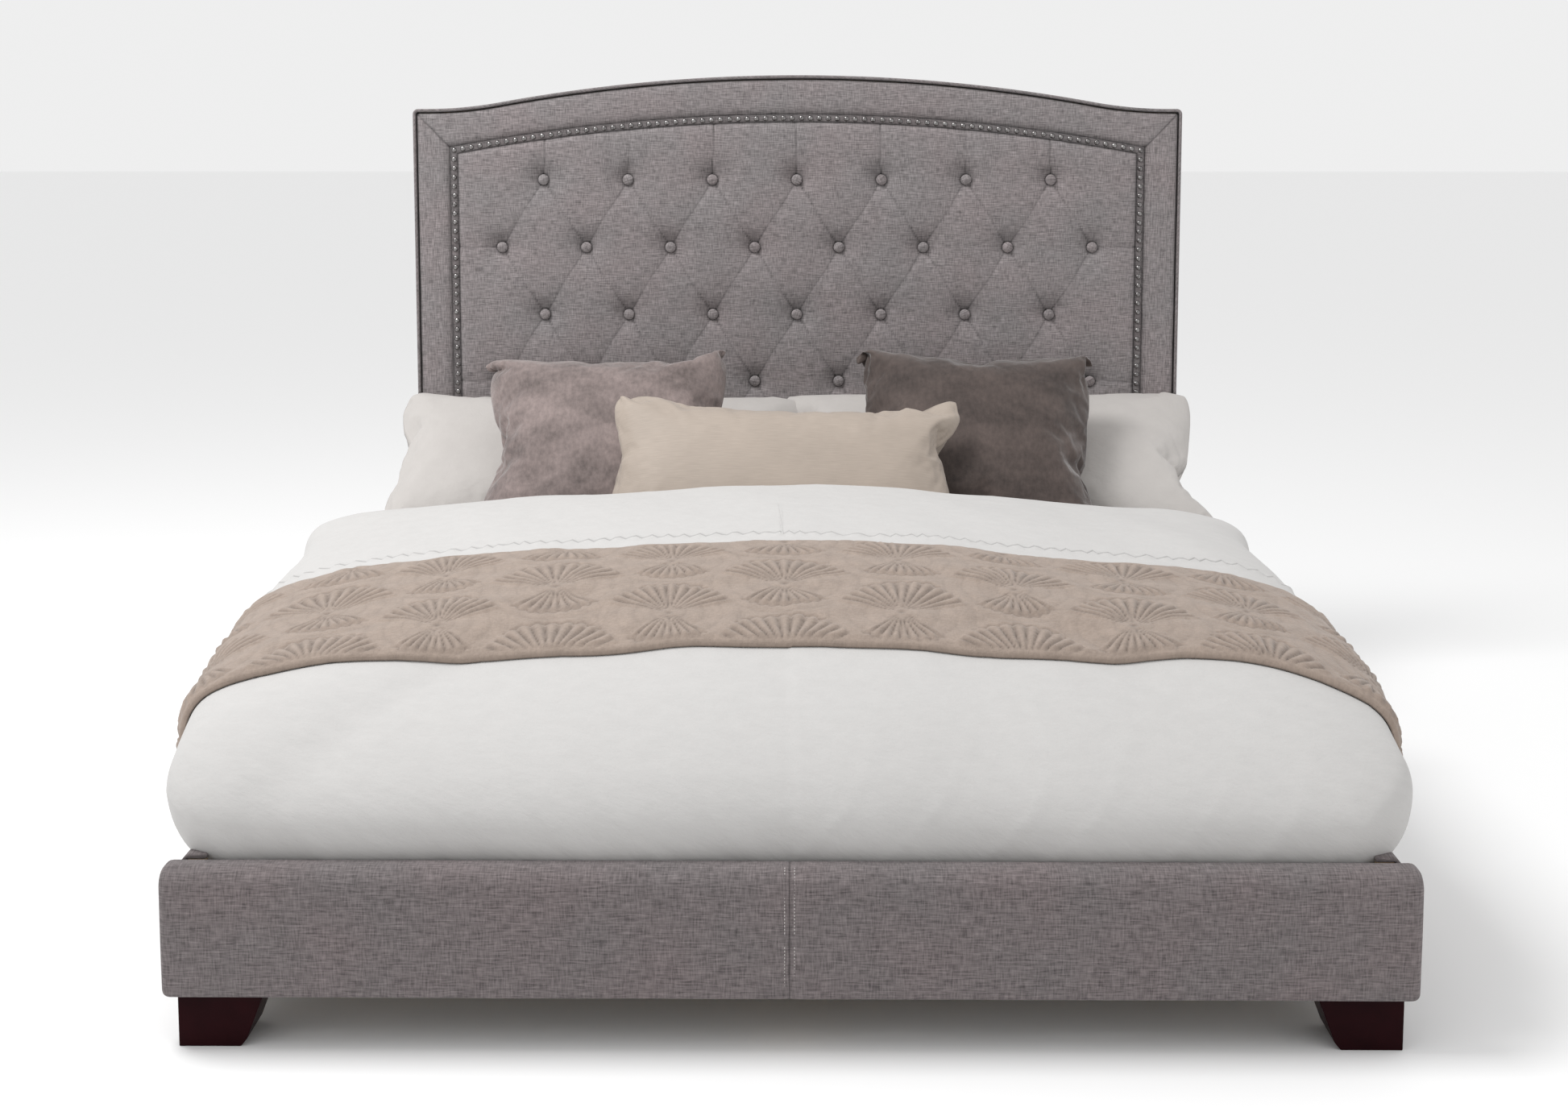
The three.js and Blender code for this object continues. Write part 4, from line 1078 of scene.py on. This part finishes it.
def duvet_height(x, y):
    """Height of the duvet's upper surface over a point of its plan."""
    x = x - duvet_drift(y)
    middle = duvet_middle(x, y)
    return middle + (duvet_top(x, y) - middle) * duvet_rise(plan_share(x, y), x, y)


def even_levels(count):
    """Shares from the outline in to the spine, at equal distances over the surface."""
    share = np.concatenate([1 - np.linspace(0, 1, 4000) ** 4 * 0.2, np.linspace(0.8, 0, 400)[1:]])
    x = share * DUVET_HALF_FOOT
    along = around(np.stack([x, duvet_rise(share, x, 0.0) * 0.17], 1))
    return np.interp(np.linspace(0, along[-1] * 0.997, count), along, share)


def duvet_section(y, low, count):
    """Points over the duvet at y, from the right side at height low to the left side."""
    half = duvet_half(y)
    forward = max(DUVET_FRONT + FRONT_REACH - y, 0)
    beyond = forward - (FRONT_REACH - FRONT_TURN)
    if beyond > 0:
        half = half - FRONT_TURN + math.sqrt(max(FRONT_TURN ** 2 - beyond ** 2, 0))
    drop = DUVET_MIDDLE - RAIL_TOP
    bow = np.linspace(math.asin(min(1, (DUVET_MIDDLE - low) / drop)), 0, 60)
    tuck = np.stack([half - SIDE_HEM * (1 - np.cos(bow)), DUVET_MIDDLE - drop * np.sin(bow)], 1)
    x = half * np.concatenate([1 - np.linspace(0, 1, 900) ** 4 * 0.2, np.linspace(0.8, 0, 400)[1:]])
    middle = duvet_middle(x, y)
    z = middle + (duvet_top(x, y) - middle) * duvet_rise(plan_share(x, y), x, y)
    right = np.concatenate([tuck[:-1], np.stack([x, z], 1)])
    section = np.concatenate([right, right[-2::-1] * (-1, 1)])
    even = resample(section, count)
    even[:, 0] += duvet_drift(y)
    return np.stack([even[:, 0], np.full(count, y), even[:, 1]], 1), around(section)[-1]


def surface_normals(grid, closed=False):
    """Outward unit normals of a grid whose rows and columns run over an upward surface."""
    if closed:
        wide = np.concatenate([grid[:, -1:], grid, grid[:, :1]], 1)
        across = (wide[:, 2:] - wide[:, :-2])
    else:
        across = np.gradient(grid, axis=1)
    down = np.gradient(grid, axis=0)
    n = np.cross(down, across)
    n /= np.maximum(np.linalg.norm(n, axis=2), 1e-9)[..., None]
    away = n[..., 2].sum()
    return -n if away < 0 else n


def duvet_relief(x, y, z):
    """How far the duvet stands off its plain shape: billows, folds above the rails, and fine wrinkles."""
    low = 1 - smooth_step(RAIL_TOP + 0.03, RAIL_TOP + 0.19, z)
    s = x + np.sign(x) * (DUVET_TOP_HEAD - z)
    calm = 0.45 + 0.55 * smooth_step(DUVET_FRONT + 0.12, DUVET_FRONT + 0.35, y)
    relief = calm * (3.6 * MM * waves(s, y, 0.60, "billow") + 1.5 * MM * waves(s, y, 0.23, "swell"))
    turn = np.arctan2(x, 1.4 - np.minimum(y, 0)) * 2.4 + y * 0.35
    relief += low * (3.4 * MM * waves(turn, z * 0.16, 0.21, "folds"))
    ridge = 1 - np.abs(waves(s + 0.5 * y, y * 0.6, 0.20, "ridge"))
    relief += (0.6 + 1.3 * low) * MM * np.maximum(ridge, 0) ** 4
    return relief


def seam_relief(x, y):
    """The quilt's cross seam behind the runner, with its gathers, and the shade in it."""
    off = y - SEAM_Y - 1.5 * MM * waves(x, 0 * x, 0.30, "seam")
    gather = 0.5 + 0.5 * np.sin(x * 2 * math.pi / 0.026 + 2.5 * waves(x, 0 * x, 0.2, "gather"))
    near = np.exp(-(off / (13 * MM)) ** 2)
    relief = -3.0 * MM * np.exp(-(off / (3.0 * MM)) ** 2) + 6.0 * MM * gather * near
    return relief, 0.45 * np.exp(-(off / (3.0 * MM)) ** 2)


def duvet():
    """A full soft quilt: rounded over the foot, hanging to the rails and hollow over the mattress."""
    line = duvet_outline()
    out = outward_normals(line)
    front = np.clip(-out[:, 1], 0, 1) ** 1.5
    head = smooth_step(DUVET_END - 0.17, DUVET_END - 0.02, line[:, 1])
    sides = np.clip(1 - front - head, 0, 1)
    middle = duvet_middle(line[:, 0], line[:, 1]) * (1 - head) + (bed_hi.z + 0.045) * head
    hem = (RAIL_TOP + 1.0 * MM - 20 * MM * front) * (1 - head) + (bed_hi.z + 1 * MM) * head
    hem_inset = SIDE_HEM * sides + FRONT_HEM * front + 0.016 * head
    under = 0.088 * sides + 0.050 * front + 0.20 * head
    spine_y = np.clip(line[:, 1], DUVET_FRONT + FRONT_REACH, DUVET_END - HEAD_REACH)
    spine = np.stack([0 * spine_y, spine_y], 1)

    rings, weight = [], []

    def ring(plan, z, strength):
        """Adds a ring at height z, whose folds stand out by a share of their full strength."""
        rings.append(np.column_stack([plan, np.broadcast_to(z, len(line))]))
        weight.append(strength)

    cap = line - out * (under + 0.11 * front)[:, None]
    over_foot = cap[:, 1] < DUVET_FRONT + FRONT_REACH
    lowest = np.where(over_foot, duvet_height(cap[:, 0], cap[:, 1]) - 12 * MM, 1.0)
    ring(cap, np.minimum(bed_hi.z + 2.5 * MM, lowest), 0)
    ring(line - out * under[:, None], np.minimum(hem + 3 * MM, bed_hi.z + 2 * MM), 0)
    for b in np.linspace(math.pi / 2, 0, 11)[:-1]:
        inset = hem_inset * (1 - math.cos(b))
        ring(line - out * inset[:, None], middle - (middle - hem) * math.sin(b), 1 - (2 * b / math.pi) ** 4)
    for share in even_levels(112):
        plan = spine + (line - spine) * share
        z = middle + (duvet_top(plan[:, 0], plan[:, 1]) - middle) * duvet_rise(share, plan[:, 0], plan[:, 1])
        ring(plan, z, 1)
    grid = np.array(rings)
    grid[2:, :, 0] += duvet_drift(grid[2:, :, 1])
    x, y, z = grid[..., 0], grid[..., 1], grid[..., 2]
    seam, dark = seam_relief(x, y)
    relief = (duvet_relief(x, y, z) + seam) * np.array(weight)[:, None]
    grid = grid + surface_normals(grid, closed=True) * relief[..., None]
    verts, faces = loft(grid, flip=True)
    quilt = piece("duvet_cover", verts, faces, WHITE, ["duvet"],
                  verts[:, :2] + verts[:, [2, 2]], dark.ravel())


# ---------- bed runner ----------

RUNNER_FOOT, RUNNER_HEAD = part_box("bed_runner")[0].y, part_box("bed_runner")[1].y
FAN_PITCH, FAN_STEP = 0.340, 0.115
FLUTE = math.radians(11)
MIDDLE_GUIDE = 20


def quilting(s, v):
    """Height and shade of the runner's quilting: sunbursts of flutes in a staggered lattice."""
    best = np.full(s.shape, 9.0)
    du, dv = np.zeros(s.shape), np.zeros(s.shape)
    row0 = np.floor(v / FAN_STEP)
    for k in (-1, 0, 1, 2):
        row = row0 + k
        shift = (row % 2) * FAN_PITCH / 2
        cx = np.round((s - shift) / FAN_PITCH) * FAN_PITCH + shift
        d = np.hypot(s - cx, v - row * FAN_STEP)
        nearer = d < best
        best = np.where(nearer, d, best)
        du, dv = np.where(nearer, s - cx, du), np.where(nearer, v - row * FAN_STEP, dv)
    angle = np.arctan2(np.abs(du), np.abs(dv) + 1e-6)
    reach = np.where(dv > 0, 0.112, 0.086)
    sector = np.where(dv > 0, math.radians(66), math.radians(44))
    flute = np.abs(np.cos(angle / FLUTE * math.pi))
    reach = reach * (0.93 + 0.07 * flute)
    fan = 1 - smooth_step(sector - 0.05, sector + 0.03, angle)
    fan *= smooth_step(0.004, 0.022, best) * (1 - smooth_step(reach - 0.012, reach, best))
    fat = np.minimum(best / 0.06, 1)
    height = 6.0 * MM * flute ** 0.6 * fan * fat
    plain = 1 - fan
    echo = np.abs(np.sin(best * math.pi / 0.027))
    height += plain * (1.6 * MM + 1.1 * MM * echo ** 0.5)
    rim = np.exp(-((best - reach - 0.002) / 0.0022) ** 2) * (angle < sector)
    knot = np.exp(-(best / 0.006) ** 2)
    height -= 2.2 * MM * rim + 2.0 * MM * knot
    dark = 0.46 * fan * (1 - flute) ** 1.5 + 0.22 * rim + 0.3 * knot + 0.10 * plain * (1 - echo) ** 3
    return height, dark


def bed_runner():
    """A quilted runner laid across the duvet and hanging to the rails, with a thick folded front edge."""
    across = 700
    span = (RUNNER_HEAD - RUNNER_FOOT) / MM
    edge = [(-1, 1.2), (-0.2, 4.0), (1.8, 7.0), (5.0, 8.5)]
    inside = list(np.arange(8.6, span - 7, 3.2))
    offsets = np.array([o for o, _ in edge] + inside + [span - o for o, _ in edge[::-1]]) * MM
    lifts = np.array([h for _, h in edge] + [8.5] * len(inside) + [h for _, h in edge[::-1]]) * MM
    guides = np.arange(RUNNER_FOOT - 0.14, RUNNER_HEAD + 0.06, 0.01)
    sections = [duvet_section(float(y), RAIL_TOP + 0.022, across) for y in guides]
    body_points = np.array([points for points, _ in sections])
    reach = np.linspace(-1, 1, across)
    s = np.broadcast_to(reach * sections[MIDDLE_GUIDE][1] / 2, (len(offsets), across))
    drape = -0.075 * smooth_step(0.55, 1.0, np.abs(reach)) * (1 + 0.25 * np.sign(-reach))
    wander = 4 * MM * waves(s, 0 * s, 0.8, "drift") + 1.5 * MM * waves(s, 0 * s, 0.22, "edge")
    y = RUNNER_FOOT + offsets[:, None] + wander + drape
    grid = np.empty((len(offsets), across, 3))
    for j in range(across):
        grid[:, j, 0] = np.interp(y[:, j], guides, body_points[:, j, 0])
        grid[:, j, 2] = np.interp(y[:, j], guides, body_points[:, j, 2])
    grid[..., 1] = y
    n = surface_normals(grid)
    base = duvet_relief(grid[..., 0], y, grid[..., 2])
    body = smooth_step(0.004, 0.014, offsets) * (1 - smooth_step(offsets[-1] - 0.012, offsets[-1], offsets))
    v = offsets[:, None] + 0.03 + 0 * s
    pattern, shade = quilting(s + 6 * MM * waves(s, v, 0.4, "stretch"), v + 4 * MM * waves(s, v, 0.5, "drag"))
    side = smooth_step(0.0, 0.012, np.minimum(s - s[:, :1], s[:, -1:] - s))
    quilt = pattern * body[:, None] * side
    crumple = 1.2 * MM * waves(s, v, 0.075, "crumple") * body[:, None]
    outer = grid + n * (base + lifts[:, None] + 2.5 * MM + quilt + crumple)[..., None]
    lower = grid + n * (base + 1.0 * MM)[..., None]
    rings = np.concatenate([outer, lower[::-1]], 0).transpose(1, 0, 2)
    verts, faces = loft(rings, flip=True)
    cloth_s = np.concatenate([s, s[::-1]], 0).T.ravel()
    cloth_v = np.concatenate([v, v[::-1]], 0).T.ravel()
    # Painted shade: the quilting's grooves on top, and an even shade on the runner's underside.
    dark = np.concatenate([shade * body[:, None], np.full(s.shape, 0.5)], 0).T.ravel()
    runner = piece("bed_runner_quilt", verts, faces, RUNNER, ["bed_runner"],
                   np.stack([cloth_s, cloth_v], 1), dark)


# ---------- pillows ----------

FRAMES, STIFFNESS = 24, 16.0


def pillow_case(width, height, nx, nz, ease):
    """Two flat panels that share their edge: points, faces, cloth coordinates and a mask of the seam, used
    for painted shade.
    """
    u = np.linspace(-1, 1, nx)
    v = np.linspace(-1, 1, nz)
    gu, gv = np.meshgrid(u, v)
    x, z = gu * width / 2, gv * height / 2
    corner = 1 - 0.035 * (np.abs(gu) ** 6) * (np.abs(gv) ** 6)
    dome = (1 - gu ** 4) * (1 - gv ** 4)
    front = np.stack([x * corner, -ease * dome, z * corner], -1).reshape(-1, 3)
    rim = (np.abs(gu) > 1 - 1e-9) | (np.abs(gv) > 1 - 1e-9)
    rim = rim.ravel()
    back_index = np.empty(nx * nz, int)
    back_index[rim] = np.flatnonzero(rim)
    back_index[~rim] = nx * nz + np.arange((~rim).sum())
    back = front[~rim] * (1, -1, 1)
    faces = grid_faces(nz, nx)
    faces += [[int(back_index[i]) for i in face[::-1]] for face in grid_faces(nz, nx)]
    verts = np.concatenate([front, back])
    cloth = verts[:, [0, 2]].copy()
    cloth[nx * nz:] += (1.3, 0.7)
    seam = np.zeros(len(verts))
    seam[:nx * nz][rim] = 1
    return verts, faces, cloth, seam


def inflate(verts, faces, pressure, frames, stiffness, seed):
    """Blows a flat case up as cloth and gives its points back. Gravity is off."""
    rng = random.Random(seed)
    start = verts + np.array([(0, rng.uniform(-1, 1) * 0.6 * MM, 0) for _ in range(len(verts))])
    mesh = bpy.data.meshes.new("case")
    mesh.from_pydata(start.tolist(), [], faces)
    obj = bpy.data.objects.new("case", mesh)
    bpy.context.scene.collection.objects.link(obj)
    cloth = obj.modifiers.new("cloth", "CLOTH")
    settings = cloth.settings
    settings.quality = 6
    settings.mass = 0.25
    settings.tension_stiffness = stiffness
    settings.compression_stiffness = stiffness
    settings.shear_stiffness = stiffness * 0.4
    settings.bending_stiffness = 0.08
    settings.use_pressure = True
    settings.uniform_pressure_force = pressure
    settings.effector_weights.gravity = 0.0
    cloth.collision_settings.use_collision = False
    cloth.point_cache.frame_start = 1
    cloth.point_cache.frame_end = frames
    scene = bpy.context.scene
    for step in range(1, frames + 1):
        scene.frame_set(step)
    seen = obj.evaluated_get(bpy.context.evaluated_depsgraph_get()).to_mesh()
    points = np.empty(len(seen.vertices) * 3)
    seen.vertices.foreach_get("co", points)
    obj.to_mesh_clear()
    bpy.data.objects.remove(obj)
    scene.frame_set(1)
    return points.reshape(-1, 3)


def fitted(points, width, height, thickness):
    """The same shape scaled to a given overall size."""
    low, high = points.min(0), points.max(0)
    return (points - (low + high) / 2) * (np.array((width, thickness, height)) / (high - low))


def settle(points, centre_x, centre_y, lean, roll):
    """Leans a cushion back and stands it on the mattress, where its lower edge gives a little."""
    a, b = math.radians(-lean), math.radians(roll)
    spin = np.array([[math.cos(b), 0, math.sin(b)], [0, 1, 0], [-math.sin(b), 0, math.cos(b)]])
    tip = np.array([[1, 0, 0], [0, math.cos(a), -math.sin(a)], [0, math.sin(a), math.cos(a)]])
    p = points @ spin.T @ tip.T
    floor, give = bed_hi.z + 1 * MM, 0.020
    p[:, 2] += floor - p[:, 2].min() - give
    under = p[:, 2] < floor + give
    p[under, 2] = floor + give * np.exp((p[under, 2] - floor - give) / give)
    return p + (centre_x, centre_y, 0)


def cushion(node, size, finish, lean, roll, pressure, cells=8 * MM):
    """One cushion or pillow: two flat panels blown up as cloth, leaned in place, with a shade in the seam."""
    width, height, thickness = size
    nx, nz = round(width / cells) + 1, round(height / cells) + 1
    verts, faces, cloth, seam = pillow_case(width, height, nx, nz, 12 * MM)
    shape = inflate(verts, faces, pressure, FRAMES, STIFFNESS, node)
    lo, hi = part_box(node)
    shape = fitted(shape, width, height, thickness)
    points = settle(shape, (lo.x + hi.x) / 2, (lo.y + hi.y) / 2, lean, roll)
    made = piece(f"{node}_cover", points, faces, finish, [node], cloth, seam * 0.25)
    smooth = made.modifiers.new("smooth", "SUBSURF")
    smooth.levels = smooth.render_levels = 1


def pillows():
    """Two sleeping pillows at the back, two velvet cushions before them and a lumbar pillow in front."""
    # The left velvet cushion gets the painted-light copy and the right one the painted-shade copy.
    for side, word, width, finish in ((-1, "left", 0.53, VELVET_LEFT_PAINTED_LIGHT), (1, "right", 0.51, VELVET_RIGHT_PAINTED_SHADE)):
        cushion(f"sleeping_pillow_{word}", (0.88, 0.49, 0.15), SHAM, 62, 0, 2.4, cells=9 * MM)
        cushion(f"velvet_cushion_{word}", (width, 0.52, 0.16), finish, 48, side * 2, 3.0)
    cushion("lumbar_pillow", (0.68, 0.365, 0.13), CHAMPAGNE, 36, 1.5, 3.0, cells=7 * MM)


# ---------- finishes on the parts that show as they are ----------

def finish_frame():
    """Gives each part of the frame that stays visible its own finish."""
    finishes = {"headboard_panel": PLYWOOD, "footboard_board": PLYWOOD, "side_rail_board": PLYWOOD,
                "headboard_post": PINE_ALONG_Z, "headboard_cross_rail": PINE_ALONG_X,
                "slat_ledger": PINE_ALONG_Y, "slat_": PINE_ALONG_X, "centre_beam": PINE_ALONG_Y,
                "centre_leg": PINE_ALONG_Z, "levelling_foot": GLIDE, "corner_bracket": ZINC,
                "rail_bolt": ZINC}
    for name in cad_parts:
        obj = bpy.data.objects.get(name)
        if obj is None or obj.hide_render:
            continue
        for start, material in finishes.items():
            if name.startswith(start):
                obj.data.materials.clear()
                obj.data.materials.append(material)
                break


# ---------- studio ----------

FLOOR_HALF = 60.0
SURROUND = 0.86
KEY_PLACE, KEY_TARGET, KEY_SIDE, KEY_POWER = (-1.9, -0.45, 4.1), (0.0, 0.0, 0.6), 1.7, 108


def studio():
    """A pale floor, a bright even surround and one large soft light from the upper left."""
    h = FLOOR_HALF
    mesh = bpy.data.meshes.new("floor")
    mesh.from_pydata([(-h, -h, 0), (h, -h, 0), (h, h, 0), (-h, h, 0)], [], [[0, 1, 2, 3]])
    floor = bpy.data.objects.new("floor", mesh)
    bpy.context.scene.collection.objects.link(floor)
    paint = Shader("floor_paint", Base_Color=(0.93, 0.93, 0.93, 1), Roughness=0.9)
    floor.data.materials.append(paint.material)

    world = bpy.data.worlds.new("surround")
    world.use_nodes = True
    background = world.node_tree.nodes["Background"]
    background.inputs["Color"].default_value = (1, 1, 1, 1)
    background.inputs["Strength"].default_value = SURROUND
    bpy.context.scene.world = world

    light = bpy.data.lights.new("key", "AREA")
    light.shape = "RECTANGLE"
    light.size = light.size_y = KEY_SIDE
    light.energy = KEY_POWER
    key = bpy.data.objects.new("key", light)
    key.location = KEY_PLACE
    key.rotation_euler = (Vector(KEY_TARGET) - Vector(KEY_PLACE)).to_track_quat("-Z", "Y").to_euler()
    bpy.context.scene.collection.objects.link(key)


def camera():
    """The camera stands in front of the foot end, a little to the right, and looks slightly down."""
    data = bpy.data.cameras.new("camera")
    data.sensor_width = 36.0
    data.lens = 54.15
    data.shift_y = -0.08
    obj = bpy.data.objects.new("camera", data)
    obj.location = (0.021, -4.096, 1.210)
    obj.rotation_euler = (math.radians(90 - 7.44), 0, math.radians(0.544))
    bpy.context.scene.collection.objects.link(obj)
    bpy.context.scene.camera = obj
    bpy.context.scene.view_settings.view_transform = "Standard"


camera()
headboard_borders()
tufted_panel()
tufting_buttons()
nail_trim()
headboard_edges()
headboard_back()
footboard()
rail_covers()
front_legs()
mattress()
duvet()
bed_runner()
pillows()
finish_frame()
studio()
